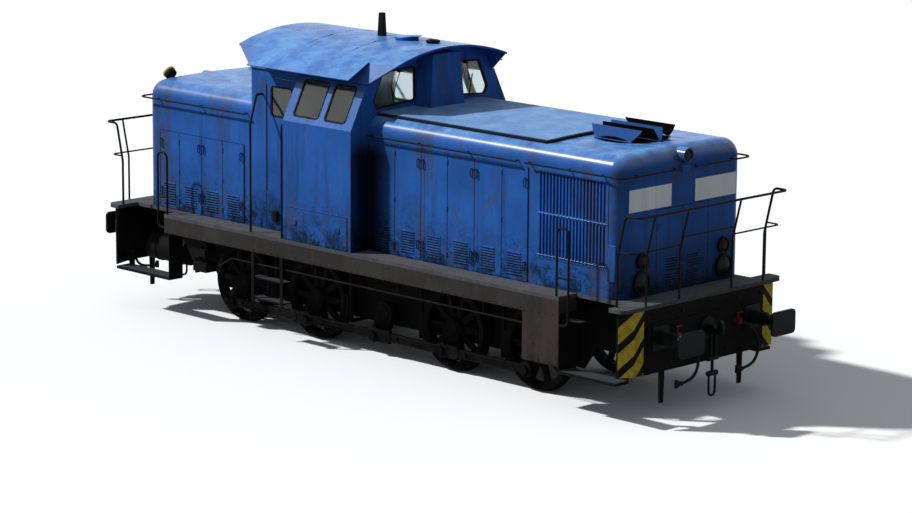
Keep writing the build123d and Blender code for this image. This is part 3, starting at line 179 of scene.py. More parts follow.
def ranged(tree, value, low, high, out_low=0.0, out_high=1.0):
    """A value mapped from one range to another and held inside it."""
    step = add_node(tree, "MapRange", {"Value": value, "From Min": low, "From Max": high,
                                       "To Min": out_low, "To Max": out_high})
    return step.outputs["Result"]


def blended(tree, share, first, second):
    """Colour first where share is 0 and second where it is 1."""
    mix = add_node(tree, "Mix", {"Factor": share, "A": first, "B": second}, data_type="RGBA")
    return mix.outputs["Result"]


def bump(tree, height, strength, distance):
    """The normal of a surface raised by a height."""
    step = add_node(tree, "Bump", {"Height": height, "Strength": strength, "Distance": distance})
    return step.outputs["Normal"]


# Grime that every finish shares: broad patches, specks, splashes, streaks that run down, and
# dirt that thins out between two heights.
grime = bpy.data.node_groups.new("grime", "ShaderNodeTree")
for name, default in (("Low", 1.4), ("High", 2.4)):
    grime.interface.new_socket(name, in_out="INPUT",
                               socket_type="NodeSocketFloat").default_value = default
for name in ("Patches", "Specks", "Streaks", "Splashes", "Low Dirt"):
    grime.interface.new_socket(name, in_out="OUTPUT", socket_type="NodeSocketFloat")
heights = grime.nodes.new("NodeGroupInput").outputs
grime_marks = {
    "Patches": ranged(grime, surface_noise(grime, 1.1, 6, rough=0.62), 0.38, 0.66),
    "Splashes": ranged(grime, surface_noise(grime, 3.4, 10, rough=0.72), 0.42, 0.60),
    "Specks": ranged(grime, combine(grime, "MAXIMUM", surface_noise(grime, 26, 6, rough=0.75),
                                    surface_noise(grime, 8, 8, rough=0.8)), 0.52, 0.66),
    "Streaks": ranged(grime, surface_noise(grime, 7.0, 5, (1, 1, 0.09), 0.6), 0.46, 0.72),
    "Low Dirt": ranged(grime, place_axes(grime)["Z"], heights["Low"], heights["High"], 1, 0),
}
feed(grime, grime.nodes.new("NodeGroupOutput"), grime_marks)


def finish(name, base, dark, rough=0.5, metal=0.0, dirt=0.7, low=1.4, high=2.4, grain=60.0,
           grain_depth=0.0006, gloss=0.14, coat=0.0, dust_and_sheen=None, dust_and_sheen_share=0.0, stain=None,
           spread=0.53):
    """A worn finish: base colour, darker grime in patches, streaks and low down, a fine grain."""
    paint, tree, shader = new_paint(name)
    mark = add_node(tree, "Group", {"Low": low, "High": high}, node_tree=grime).outputs
    patch = product(tree, mark["Patches"], 0.45 * dirt)
    streak = product(tree, mark["Streaks"], 0.55 * dirt)
    speck = product(tree, mark["Specks"], mark["Low Dirt"], 0.95 * dirt)
    film = product(tree, combine(tree, "POWER", mark["Low Dirt"], 1.5),
                   combine(tree, "ADD", 0.25, mark["Splashes"]), 1.25 * dirt)
    shade = combine(tree, "ADD", combine(tree, "MAXIMUM", patch, streak, film), speck)
    held = ranged(tree, shade, 0.0, 1.0)
    colour = blended(tree, held, base, dark)
    upward = facing_axes(tree)["Z"]
    # Faces that look up turn towards a lighter colour: dust that lies on them, and on the blue bodywork
    # also a painted sheen on the tops.
    if dust_and_sheen:
        tone = ranged(tree, surface_noise(tree, 3.1, 7, rough=0.7), 0.40, 0.7, 0.25, 1.0)
        dust_and_sheen_on_tops = ranged(tree, upward, 0.35, 0.95, 0.03, dust_and_sheen_share)
        colour = blended(tree, product(tree, tone, dust_and_sheen_on_tops), colour, dust_and_sheen)
    if stain:
        worn_spots = ranged(tree, surface_noise(tree, 1.6, 10, (1, 1, 0.40), 0.70), spread,
                            spread + 0.06)
        upright = ranged(tree, upward, 0.5, 0.9, 0.70, 0.10)
        colour = blended(tree, product(tree, worn_spots, upright), colour, stain)
    worn_rough = ranged(tree, held, 0.0, 1.0, rough, min(1.0, rough + 0.25))
    grains = bump(tree, surface_noise(tree, grain, 3, rough=0.5), 0.35, grain_depth)
    feed(tree, shader, {"Base Color": colour, "Roughness": worn_rough, "Metallic": metal,
                        "Specular IOR Level": gloss, "Coat Roughness": 0.22, "Normal": grains})
    if coat:
        rounded_edge = product(tree, ranged(tree, upward, 0.10, 0.45, 0.0, coat),
                               ranged(tree, upward, 0.75, 0.95, 1.0, 0.10))
        feed(tree, shader, {"Coat Weight": rounded_edge})
    return paint


def repaint(piece, paint):
    """Gives a piece one finish in place of those it has."""
    piece.data.materials.clear()
    piece.data.materials.append(paint)


rubber = finish("hose_rubber", (0.012, 0.012, 0.013), (0.024, 0.022, 0.020), rough=0.62, dirt=0.8,
                low=0.3, high=1.2, grain=420.0, grain_depth=0.0004, gloss=0.06)
cock_red = finish("cock_red", (0.15, 0.014, 0.022), (0.03, 0.008, 0.008), rough=0.45, dirt=0.9,
                  low=0.3, high=1.3, grain=200.0)


def hose(end_name, side_name, start_y, sign):
    """One hose: a round bevel on a smooth line through its route; sign is -1 at the rear end."""
    line = bpy.data.curves.new(f"hose_{end_name}_{side_name}", "CURVE")
    line.dimensions = "3D"
    line.bevel_depth = hose_radius
    line.bevel_resolution = 5
    line.resolution_u = 12
    line.use_fill_caps = True
    run = line.splines.new("NURBS")
    last = len(hose_route) - 1
    run.points.add(last)
    for index, (dy, z) in enumerate(hose_route):
        x = cock_x + hose_lean * index / last
        run.points[index].co = (sign * x, sign * (start_y + dy), rail + z, 1)
    run.order_u = 3
    run.use_endpoint_u = True
    piece = bpy.data.objects.new(f"brake_hose_{end_name}_{side_name}_rubber", line)
    bpy.context.scene.collection.objects.link(piece)
    line.materials.append(rubber)
    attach(piece, "locomotive")
    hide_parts(f"brake_hose_{end_name}_{side_name}")


for side_name, start_y in hose_starts:
    hose("front", side_name, start_y, 1)
    hose("rear", side_name, start_y, -1)
repaint(nodes["hose_heads"], rubber)
repaint(nodes["brake_cocks"], cock_red)

# ------------------------ finishes of the solid pieces
# Rolled and welded steel: gloss blue bodywork, grey-brown sills, black running gear with oil
# and brake dust, a grey deck.

# The lighter colour on the tops of the bodywork is partly dust and partly a painted sheen.
body_blue = finish("body_blue", (0.025, 0.123, 0.468), (0.005, 0.015, 0.042), rough=0.22, dirt=0.85,
                   low=rail + 1.40, high=rail + 2.35, grain=90.0, grain_depth=0.0002, gloss=0.03,
                   coat=0.55, dust_and_sheen=(0.23, 0.51, 0.90), dust_and_sheen_share=0.70, stain=(0.050, 0.072, 0.165))

# Painted shade darkens the corners between the long hood and the cab, where the cab shades the side
# of the hood. The nose is darker towards its foot, and the door recesses are darker in patches towards
# their feet.
darkened_body = body_blue.node_tree
darkening_black = (0.003, 0.004, 0.008)
cab_front_x = 0.062
hood_half = 1.168
darkened_place = place_axes(darkened_body)
half_across = combine(darkened_body, "ABSOLUTE", darkened_place["Y"])
along = combine(darkened_body, "SUBTRACT", darkened_place["X"], cab_front_x)
across = combine(darkened_body, "SUBTRACT", half_across, hood_half)
from_corner = combine(darkened_body, "SQRT", combine(darkened_body, "ADD", product(darkened_body, along, along),
                                            product(darkened_body, across, across)))
# Painted shade in the corner where the cab shades the side of the long hood.
corner_shade_share = product(darkened_body, ranged(darkened_body, from_corner, 0.12, 0.58, 0.92, 0.0),
                       ranged(darkened_body, half_across, 1.470, 1.483, 1.0, 0.0),
                       ranged(darkened_body, darkened_place["Z"], rail + 2.75, rail + 3.00, 1.0, 0.0))
nose_foot_share = product(darkened_body, ranged(darkened_body, darkened_place["X"], 4.30, 4.47),
                     ranged(darkened_body, darkened_place["Z"], rail + 1.45, rail + 2.25, 0.75, 0.0))
door_foot_share = product(darkened_body, ranged(darkened_body, darkened_place["X"], -2.25, -2.05),
                     ranged(darkened_body, darkened_place["X"], -1.36, -1.24, 1.0, 0.0),
                     ranged(darkened_body, surface_noise(darkened_body, 6.0, 9, rough=0.7), 0.40, 0.58, 0.25, 1.0),
                     ranged(darkened_body, darkened_place["Z"], rail + 1.50, rail + 2.15, 0.90, 0.0))
darkening_share = combine(darkened_body, "MAXIMUM", corner_shade_share, nose_foot_share, door_foot_share)
body_shader = darkened_body.nodes["Principled BSDF"]
clean_blue = body_shader.inputs["Base Color"].links[0].from_socket
feed(darkened_body, body_shader, {"Base Color": blended(darkened_body, darkening_share, clean_blue, darkening_black)})

lid_blue = finish("lid_blue", (0.10, 0.24, 0.50), (0.05, 0.09, 0.17), rough=0.60, dirt=0.6,
                  low=rail + 2.0, high=rail + 3.0, grain=90.0, grain_depth=0.0002, gloss=0.08,
                  dust_and_sheen=(0.27, 0.45, 0.74), dust_and_sheen_share=0.75)
under_black = finish("under_black", (0.0060, 0.0062, 0.0072), (0.014, 0.012, 0.010), rough=0.65,
                     low=0.2, high=1.3, grain=70.0, gloss=0.035)
sill_grey = finish("sill_grey", (0.034, 0.032, 0.031), (0.012, 0.011, 0.011), rough=0.7, dirt=0.8,
                   low=0.4, high=1.5, gloss=0.08, dust_and_sheen=(0.100, 0.092, 0.085), dust_and_sheen_share=0.6,
                   stain=(0.048, 0.042, 0.040), spread=0.50)
deck_grey = finish("deck_grey", (0.094, 0.099, 0.110), (0.038, 0.036, 0.036), rough=0.75, dirt=0.9,
                   low=1.3, high=1.6, grain=110.0, grain_depth=0.0012, gloss=0.10)
worn_steel = finish("worn_steel", (0.013, 0.012, 0.012), (0.005, 0.004, 0.004), rough=0.55,
                    metal=0.25, low=0.1, high=1.2, grain=80.0, gloss=0.035)
wheel_black = finish("wheel_black", (0.0080, 0.0078, 0.0086), (0.004, 0.003, 0.003), rough=0.6,
                     metal=0.15, low=0.1, high=1.2, grain=80.0, gloss=0.02)
rail_black = finish("rail_black", (0.005, 0.005, 0.006), (0.009, 0.007, 0.006), high=2.0,
                    grain=150.0, gloss=0.06)
console_beige = finish("console_beige", (0.42, 0.36, 0.25), (0.20, 0.16, 0.10), rough=0.55,
                       dirt=0.4, high=1.7, grain=150.0)
seat_brown = finish("seat_brown", (0.17, 0.10, 0.055), (0.05, 0.03, 0.02), rough=0.55, dirt=0.5,
                    high=1.9, grain=260.0, grain_depth=0.001)
engine_grey = finish("engine_grey", (0.22, 0.24, 0.23), (0.05, 0.045, 0.04), dirt=0.8, high=2.8)

finish_of = {
    "body_blue": body_blue, "frame_black": under_black, "cast_black": under_black,
    "spring_steel": under_black, "sill_grey": sill_grey, "deck_grey": deck_grey,
    "buffer_steel": worn_steel, "worn_steel": worn_steel, "wheel_steel": wheel_black,
    "rod_steel": worn_steel, "radiator_black": under_black, "fan_grey": worn_steel,
    "engine_grey": engine_grey, "floor_rubber": rubber, "console_beige": console_beige,
    "roof_black": rail_black, "rail_black": rail_black, "seat_brown": seat_brown,
    "lamp_black": rail_black,
}
for part in frame["record"]["subparts"]:
    if part["material_slot"] in finish_of:
        repaint(nodes[part["node"]], finish_of[part["material_slot"]])

# ------------------------ doors of the hoods
# Pressed steel leaves: each has a bank of hooded louvres near its foot, ring handles on the
# latch side and three strap hinges. The louvres are punched outwards from the sheet.

hood_side_y = -hood_half
long_leaf_edges = (0.082, 0.565, 1.048, 1.527, 2.010, 2.490, 2.942)
short_leaf_edges = (-4.133, -3.727, -3.257, -2.817, -2.380)
slat_pitch = 0.034
slat_height = 0.015
slat_lift = 0.008
slat_count = 9
bank_half = 0.122
slat_nose = (0.93, 1, 0.25)  # a slat's outer face against its root
slot_height = 0.017
slot_inset = 0.002
sunk = 0.001  # how deep trim sits in its sheet
thin_ease = 0.0004  # the eased edge of a painted or sunk line


def nothing_selected():
    """Leaves edit mode and clears the selection."""
    if bpy.context.object and bpy.context.object.mode != "OBJECT":
        bpy.ops.object.mode_set(mode="OBJECT")
    bpy.ops.object.select_all(action="DESELECT")


def pick(piece):
    """Makes one piece the only one selected, and the active one."""
    nothing_selected()
    piece.select_set(True)
    bpy.context.view_layer.objects.active = piece


def edit_facing(piece, direction):
    """In edit mode on a piece, selects the faces that look along a direction."""
    pick(piece)
    bpy.ops.object.mode_set(mode="EDIT")
    bpy.ops.mesh.select_mode(type="FACE")
    work = bmesh.from_edit_mesh(piece.data)
    for face in work.faces:
        face.select_set(face.normal.dot(Vector(direction)) > 0.95)
    work.select_flush_mode()
    bmesh.update_edit_mesh(piece.data)


def shape_applied():
    """Puts the place, turn and scale of the active object into its mesh; returns the object."""
    bpy.ops.object.transform_apply(location=True, rotation=True, scale=True)
    return bpy.context.active_object


def eased(piece, width, segments=2):
    """The piece with its sharp edges bevelled."""
    pick(piece)
    ease = piece.modifiers.new("ease", "BEVEL")
    ease.width = width
    ease.segments = segments
    bpy.ops.object.modifier_apply(modifier=ease.name)
    return piece


def repeated(piece, count, step):
    """The piece repeated in a row, each time one step further."""
    pick(piece)
    row = piece.modifiers.new("row", "ARRAY")
    row.count = count
    row.use_relative_offset = False
    row.use_constant_offset = True
    row.constant_offset_displace = step
    bpy.ops.object.modifier_apply(modifier=row.name)
    return piece


def rounded_block(first, opposite, width, segments=2):
    """A block between two opposite corners, its edges eased by a bevel."""
    nothing_selected()
    bpy.ops.mesh.primitive_cube_add(size=1, location=[(a + b) / 2 for a, b in zip(first, opposite)])
    bpy.context.active_object.scale = [abs(b - a) for a, b in zip(first, opposite)]
    return eased(shape_applied(), width, segments)


def round_bar(start, end, radius, sides=16, ease_width=0.0):
    """A round bar from start to end."""
    nothing_selected()
    a, b = Vector(start), Vector(end)
    bpy.ops.mesh.primitive_cylinder_add(vertices=sides, radius=radius, depth=(b - a).length,
                                        location=(a + b) / 2,
                                        rotation=(b - a).to_track_quat("Z", "Y").to_euler())
    piece = shape_applied()
    return eased(piece, ease_width) if ease_width else piece


def copied(piece, shift=(0, 0, 0), mirror=None, turned=False):
    """A copy with its own mesh, shifted, then mirrored, then turned to the other end."""
    twin = piece.copy()
    twin.data = piece.data.copy()
    bpy.context.scene.collection.objects.link(twin)
    twin.data.transform(Matrix.Translation(shift))
    if mirror:
        twin.data.transform(Matrix.Diagonal((*mirror, 1)))
        twin.data.flip_normals()
    if turned:
        twin.data.transform(Matrix.Rotation(pi, 4, "Z"))
    return twin


def both_flanks(pieces):
    """The given right-hand pieces and their mirror images."""
    return [*pieces, *(copied(piece, mirror=(1, -1, 1)) for piece in pieces)]


def placed(pieces, name, paint, body="locomotive", smooth=0.0):
    """Joins pieces into one, names it, gives it its finish and lets it ride on its body."""
    whole = pieces[0]
    pick(whole)
    for piece in pieces:
        piece.select_set(True)
    if len(pieces) > 1:
        bpy.ops.object.join()
    whole.name = name
    whole.data.name = name
    repaint(whole, paint)
    if smooth:
        pick(whole)
        bpy.ops.object.shade_smooth_by_angle(angle=radians(smooth))
    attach(whole, body)


def louvre_bank(middle, half, low_z, count, face_y):
    """Hooded slats, one above another, on a side sheet, and the dark openings under them."""
    slat = rounded_block((middle - half, face_y - slat_lift, low_z),
                         (middle + half, face_y + sunk, low_z + slat_height), 0.0012, 1)
    edit_facing(slat, (0, -1, 0))
    bpy.ops.transform.resize(value=slat_nose, center_override=(middle, face_y, low_z))
    slot = rounded_block((middle - half + slot_inset, face_y - 0.0015, low_z - slot_height),
                         (middle + half - slot_inset, face_y + sunk, low_z + slot_inset),
                         thin_ease, 1)
    return [repeated(piece, count, (0, 0, slat_pitch)) for piece in (slat, slot)]


shadow_black = finish("shadow_black", (0.004, 0.005, 0.008), (0.010, 0.010, 0.012), rough=0.9,
                      dirt=0.5, grain=100.0)
banks = []
for edges, low_z in ((long_leaf_edges, rail + 1.540), (short_leaf_edges, rail + 1.545)):
    for left, right in zip(edges, edges[1:]):
        banks.append(louvre_bank((left + right) / 2, bank_half, low_z, slat_count, hood_side_y))
slats, slots = zip(*banks)
placed(both_flanks(slats), "door_louvres", body_blue)
placed(both_flanks(slots), "door_louvre_slots", shadow_black)

# Ring handles: an oval ring of round bar hung from a small boss, two on each latch edge.
ring_half_width = 0.022
ring_half_height = 0.055
ring_bar = 0.0055
ring_set = 0.040  # from the edge of the leaf
ring_stand = 0.016  # from the face of the leaf
boss_half, boss_reach = 0.006, 0.022


def ring_handle(x, z):
    """An oval ring lying on the leaf, hung from a small boss."""
    nothing_selected()
    bpy.ops.mesh.primitive_torus_add(location=(x, hood_side_y - ring_stand, z),
                                     rotation=(pi / 2, 0, 0),
                                     major_radius=ring_half_width, minor_radius=ring_bar,
                                     major_segments=20, minor_segments=8)
    ring = shape_applied()
    stretch = ring_half_height - ring_half_width
    for vertex in ring.data.vertices:
        vertex.co.z += stretch if vertex.co.z > z else -stretch
    top_z = z + ring_half_height
    boss = rounded_block((x - boss_half, hood_side_y - boss_reach, top_z - 2 * boss_half),
                         (x + boss_half, hood_side_y + sunk, top_z + boss_half), 0.002)
    return [ring, boss]


handles = []
for edges, heights in ((long_leaf_edges, (2.740, 1.670)), (short_leaf_edges, (2.390, 1.700))):
    last = len(edges) - 1
    for index in range(0, last + 1, 2):
        sides = [side for side, edge in ((-1, 0), (1, last)) if index != edge]
        for height in heights:
            for side in sides:
                handles += ring_handle(edges[index] + side * ring_set, rail + height)
placed(both_flanks(handles), "door_ring_handles", rail_black, smooth=40)

# Strap hinges: a pressed knuckle at the outer edge of each leaf, three to an edge.
knuckle_y = hood_side_y - 0.004
knuckle_half = 0.035
knuckle_radius = 0.009
knuckles = []
for edges, heights in ((long_leaf_edges, (1.62, 2.22, 2.82)),
                       (short_leaf_edges, (1.60, 2.02, 2.44))):
    for x in edges[1::2]:
        for z in heights:
            knuckles.append(round_bar((x, knuckle_y, rail + z - knuckle_half),
                                      (x, knuckle_y, rail + z + knuckle_half),
                                      knuckle_radius, 12, 0.002))
placed(both_flanks(knuckles), "door_hinge_knuckles", body_blue, smooth=40)


# Open joints between the leaves and over them, and the edge of the cover strip at each latch.
def joint_line(x0, x1, z0, z1):
    """A thin dark line on the side sheet, between two corners."""
    return rounded_block((x0, hood_side_y - 0.0012, z0), (x1, hood_side_y + sunk, z1), thin_ease, 1)


leaf_foot_z = rail + 1.480
joint_half = 0.006
strip_edge = (0.062, 0.066)
joints = []
for edges, top_z in ((long_leaf_edges, rail + 2.935), (short_leaf_edges, rail + 2.562)):
    for index, x in enumerate(edges):
        joints.append(joint_line(x - joint_half, x + joint_half, leaf_foot_z, top_z))
        if index % 2 == 0 and 0 < index < len(edges) - 1:
            joints.append(joint_line(x + strip_edge[0], x + strip_edge[1], leaf_foot_z, top_z))
    joints.append(joint_line(edges[0], edges[-1], top_z - 0.003, top_z + 0.003))
placed(both_flanks(joints), "door_joints", shadow_black)

# ------------------------ nose of the long hood
# A welded front sheet: a full-height access door with two banks of louvres on each leaf, and a
# pale band painted on each side of a bare field.

nose_x = 4.490
band_grey = finish("band_grey", (0.88, 0.94, 1.00), (0.50, 0.55, 0.61), rough=0.55, dirt=0.6,
                   low=2.3, high=2.6, gloss=0.2)
seam_corners = ((-0.492, 1.478, -0.484, 2.520), (0.484, 1.478, 0.492, 2.520),
                (-0.492, 2.514, 0.492, 2.522), (-0.004, 1.478, 0.004, 2.520))  # y, z to y, z
door_seams = [rounded_block((nose_x - sunk, y0, rail + z0),
                            (nose_x + 0.0015, y1, rail + z1), 0.0005, 1)
              for y0, z0, y1, z1 in seam_corners]
placed(door_seams, "nose_door_seams", shadow_black)

band_inner_y, band_outer_y = 0.225, 1.010
band_foot_z, band_top_z = rail + 2.540, rail + 2.822
bands = [rounded_block((nose_x - 0.0005, side * band_inner_y, band_foot_z),
                       (nose_x + 0.0012, side * band_outer_y, band_top_z), thin_ease, 1)
         for side in (-1, 1)]
placed(bands, "nose_painted_bands", band_grey)

nose_leaf_middle, nose_bank_half, nose_slat_count = 0.198, 0.105, 5
nose_banks = []
for side in (-1, 1):
    on_nose = (Matrix.Translation((nose_x, side * nose_leaf_middle, 0))
               @ Matrix.Rotation(pi / 2, 4, "Z"))
    for low_z in (rail + 1.545, rail + 1.745):
        nose_banks.append(louvre_bank(0, nose_bank_half, low_z, nose_slat_count, 0))
        for piece in nose_banks[-1]:
            piece.data.transform(on_nose)
slats, slots = zip(*nose_banks)
placed(slats, "nose_louvres", body_blue)
placed(slots, "nose_louvre_slots", shadow_black)

# ------------------------ lamps
# Spun steel rims with domed glass: two head lamps and two red tail lamps on each end, and an
# upper lamp on the top edge of each hood.

lamp_glass = finish("lamp_glass", (0.013, 0.016, 0.018), (0.005, 0.005, 0.006), rough=0.15,
                    dirt=0.6, high=2.0, grain=30.0, gloss=0.06)
tail_red = finish("tail_lamp_red", (0.026, 0.004, 0.004), (0.007, 0.003, 0.003), rough=0.15,
                  high=2.0, grain=30.0, gloss=0.05)
lamp_pairs = (("head", 0.780, 1.650, 0.121, 0.022, lamp_glass),  # kind, y, z, radius, dome, glass
              ("tail", 0.770, 1.918, 0.078, 0.018, tail_red))
top_lamp_z, top_lamp_radius, top_lamp_dome = rail + 3.150, 0.076, 0.016
lamp_reach, top_lamp_reach = 0.026, 0.052  # from the hood's end to the rim of the glass
short_hood_x = -4.430


def lens(place, facing, radius, dome, name, paint):
    """A shallow glass dome that faces out from a hood end."""
    nothing_selected()
    bpy.ops.mesh.primitive_uv_sphere_add(segments=32, ring_count=16, radius=radius,
                                         rotation=(0, facing * pi / 2, 0))
    glass = shape_applied()
    glass.data.transform(Matrix.Translation(place) @ Matrix.Diagonal((dome / radius, 1, 1, 1)))
    placed([glass], name, paint, smooth=60)


for x, facing, end_name in ((nose_x, 1, "front"), (short_hood_x, -1, "rear")):
    for side_name, hand in (("right", -1), ("left", 1)):
        for kind, y, z, radius, dome, glass in lamp_pairs:
            lens((x + facing * lamp_reach, hand * y, rail + z), facing, radius, dome,
                 f"{kind}_lamp_glass_{end_name}_{side_name}", glass)
    lens((x + facing * top_lamp_reach, 0, top_lamp_z), facing, top_lamp_radius, top_lamp_dome,
         f"top_lamp_glass_{end_name}", lamp_glass)

# ------------------------ headstocks
# The headstocks are thick plates. A folded sheet on a wedge of packing covers each corner,
# painted in yellow and black warning bands.

band_lean = 1.13  # how much a band falls for each step outwards
band_start = 0.197
bands_per_metre = 3.092
yellow_share = 0.64
last_band = 3.0
band_yellow, rubbed_yellow, band_black = (0.60, 0.47, 0.045), (0.15, 0.085, 0.020), (0.004, 0.004, 0.005)
hazard, hazard_tree, hazard_shader = new_paint("hazard_bands")
hazard_place = place_axes(hazard_tree)
from_middle = combine(hazard_tree, "ABSOLUTE", hazard_place["Y"])
slant = combine(hazard_tree, "ADD", hazard_place["Z"], product(hazard_tree, from_middle, band_lean))
band_place = product(hazard_tree, combine(hazard_tree, "ADD", slant, band_start), bands_per_metre)
band_step = combine(hazard_tree, "FRACT", band_place)
is_black = combine(hazard_tree, "MAXIMUM", combine(hazard_tree, "GREATER_THAN", band_step, yellow_share),
                   combine(hazard_tree, "GREATER_THAN", slant, last_band))
worn_share = ranged(hazard_tree, surface_noise(hazard_tree, 9, 7, rough=0.7), 0.44, 0.66, 0.0, 0.60)
yellow = blended(hazard_tree, worn_share, band_yellow, rubbed_yellow)
feed(hazard_tree, hazard_shader,
     {"Base Color": blended(hazard_tree, is_black, yellow, band_black), "Roughness": 0.55,
      "Specular IOR Level": 0.05,
      "Normal": bump(hazard_tree, surface_noise(hazard_tree, 120, 3), 0.3, 0.0004)})
panel_x = 4.8814
panel_foot_z, panel_top_z = rail + 0.602, rail + 1.404
panel_inner_y, fold_y, panel_outer_y = 1.138, 1.320, 1.472


def folded_half(inner_y, outer_y, back_x, end_scale, end_shift):
    """Half of a folded panel with its packing: the outer end is scaled in depth and set back."""
    nothing_selected()
    middle = ((back_x + panel_x) / 2, -(inner_y + outer_y) / 2, (panel_foot_z + panel_top_z) / 2)
    bpy.ops.mesh.primitive_cube_add(size=1, location=middle)
    bpy.context.active_object.scale = (panel_x - back_x, outer_y - inner_y, panel_top_z - panel_foot_z)
    half = shape_applied()
    edit_facing(half, (0, -1, 0))
    bpy.ops.transform.resize(value=(end_scale, 1, 1), center_override=(panel_x, -outer_y, 0))
    bpy.ops.transform.translate(value=(end_shift, 0, 0))
    nothing_selected()
    return half


corner_panels = both_flanks([folded_half(panel_inner_y, fold_y, 4.8750, 10.84, 0),
                             folded_half(fold_y, panel_outer_y, 4.8120, 0.049, -0.118)])
corner_panels += [copied(piece, turned=True) for piece in corner_panels]
placed(corner_panels, "warning_panels", hazard)

# ------------------------ windows of the cab
# Toughened panes in black rubber mouldings: two in each leaning side, one in each door, two in
# each end wall.

waist_z = rail + 3.070
cab_half = 1.485
lean_run, lean_rise = 0.295, 0.586
slope = (lean_run ** 2 + lean_rise ** 2) ** 0.5
moulding_width = 0.026
pane_depth, moulding_depth = 0.006, 0.030
fit = 0.004  # how much smaller a moulding is than its opening
round_corner, small_corner = 0.058, 0.046
side_openings = ((-1.100, -0.593), (-0.503, -0.082))  # along each side
glass_set = 0.012  # how deep the glass lies in a leaning side
door_pane_place, door_pane_size = (-1.6225, -1.145, rail + 3.225), (0.441, 0.426)
end_glass_x = ((0.0395, "front"), (-2.1975, "rear"))
end_window = ((0.292, 3.357), (1.019, 3.302), (1.078, 3.420), (0.904, 3.798),
              (0.302, 3.828))  # out from the middle, above the rail
pane_glass, pane_tree, pane_shader = new_paint("window_glass")
smears = ranged(pane_tree, surface_noise(pane_tree, 6, 6, (1, 1, 0.3)), 0.45, 0.75, 0.03, 0.16)
feed(pane_tree, pane_shader, {"Base Color": (0.80, 0.86, 0.88), "Transmission Weight": 1.0,
                              "IOR": 1.45, "Roughness": smears})


def edit_whole(piece):
    """In edit mode on a piece, selects all of it."""
    pick(piece)
    bpy.ops.object.mode_set(mode="EDIT")
    bpy.ops.mesh.select_all(action="SELECT")


def thickened(piece, depth):
    """A flat piece given a thickness, half to each side."""
    pick(piece)
    skin = piece.modifiers.new("skin", "SOLIDIFY")
    skin.thickness = depth
    skin.offset = 0
    bpy.ops.object.modifier_apply(modifier=skin.name)
    return piece


def pane_and_seal(corners, corner_radius, wall_place, name, body="locomotive"):
    """A pane with round corners and the rubber moulding round it, built flat and then placed."""
    nothing_selected()
    bpy.ops.mesh.primitive_circle_add(vertices=len(corners), radius=1, fill_type="NGON")
    pane = bpy.context.active_object
    for vertex, (u, v) in zip(pane.data.vertices, corners):
        vertex.co = (u, v, 0)
    edit_whole(pane)
    bpy.ops.mesh.bevel(offset=corner_radius, offset_type="OFFSET", segments=6, affect="VERTICES")
    nothing_selected()
    seal = copied(pane)
    edit_whole(seal)
    bpy.ops.mesh.inset(thickness=moulding_width, depth=0)
    bpy.ops.mesh.delete(type="FACE")
    nothing_selected()
    eased(thickened(seal, moulding_depth), 0.006)
    thickened(pane, pane_depth)
    for piece in (pane, seal):
        piece.data.transform(wall_place)
        edit_whole(piece)
        bpy.ops.mesh.normals_make_consistent(inside=False)
        nothing_selected()
    placed([pane], f"{name}_pane", pane_glass, body)
    placed([seal], f"{name}_seal", rubber, body, smooth=35)


def rectangle(width, height):
    """Corners of a rectangle about the origin."""
    return [(u * width / 2, v * height / 2) for u, v in ((-1, -1), (1, -1), (1, 1), (-1, 1))]


lean_up = Vector((0, lean_run / slope, lean_rise / slope))
lean_out = Vector((0, -lean_rise / slope, lean_run / slope))
sill_up, head_up = 0.075, slope - 0.040
for index, (left, right) in enumerate(side_openings):
    centre = (Vector(((left + right) / 2, -cab_half, waist_z)) + lean_up * ((sill_up + head_up) / 2)
              - lean_out * glass_set)
    leaning = Matrix((Vector((1, 0, 0)), lean_up, lean_out)).transposed().to_4x4()
    for hand, name in ((1, "right"), (-1, "left")):
        wall = Matrix.Diagonal((1, hand, 1, 1)) @ Matrix.Translation(centre) @ leaning
        pane_and_seal(rectangle(right - left - fit, head_up - sill_up - fit), round_corner, wall,
                      f"side_window_{name}_{index + 1}")
for hand, name in ((1, "right"), (-1, "left")):
    wall = (Matrix.Diagonal((1, hand, 1, 1)) @ Matrix.Translation(door_pane_place)
            @ Matrix.Rotation(pi / 2, 4, "X"))
    pane_and_seal(rectangle(*door_pane_size), round_corner, wall, f"door_window_{name}",
                  body=f"door_{name}")
across_wall = Matrix(((0, 0, 1, 0), (1, 0, 0, 0), (0, 1, 0, 0), (0, 0, 0, 1)))
for x, end_name in end_glass_x:
    for hand, name in ((-1, "right"), (1, "left")):
        corners = [(hand * y, rail + z) for y, z in end_window]
        pane_and_seal(corners, small_corner, Matrix.Translation((x, 0, 0)) @ across_wall,
                      f"{end_name}_window_{name}")

# ------------------------ wipers
# A pivot box at the top edge of each end window, a round steel arm and a rubber blade that the
# arm presses on the glass.

cab_middle_x = -1.079
box_half, blade_half = (0.028, 0.022), (0.030, 0.145)  # across and up
wall_x, box_x, arm_end_x, blade_x = 0.061, 0.100, 0.078, 0.070
wiper_parts = []
for hand in (-1, 1):
    pivot_y, tip_y = hand * 0.620, hand * 0.735
    pivot_z, tip_z = rail + 3.790, rail + 3.470
    wiper_parts += [
        rounded_block((wall_x, pivot_y - box_half[0], pivot_z - box_half[1]),
                      (box_x, pivot_y + box_half[0], pivot_z + box_half[1]), 0.006),
        round_bar((0.096, pivot_y, pivot_z), (arm_end_x, tip_y, tip_z), 0.006, 10, 0.001),
        round_bar((blade_x, tip_y - hand * blade_half[0], tip_z - blade_half[1]),
                  (blade_x, tip_y + hand * blade_half[0], tip_z + blade_half[1]), 0.009, 8, 0.002)]
wiper_parts += [copied(piece, (-2 * cab_middle_x, 0, 0), (-1, 1, 1)) for piece in wiper_parts]
placed(wiper_parts, "window_wipers", rail_black, smooth=40)

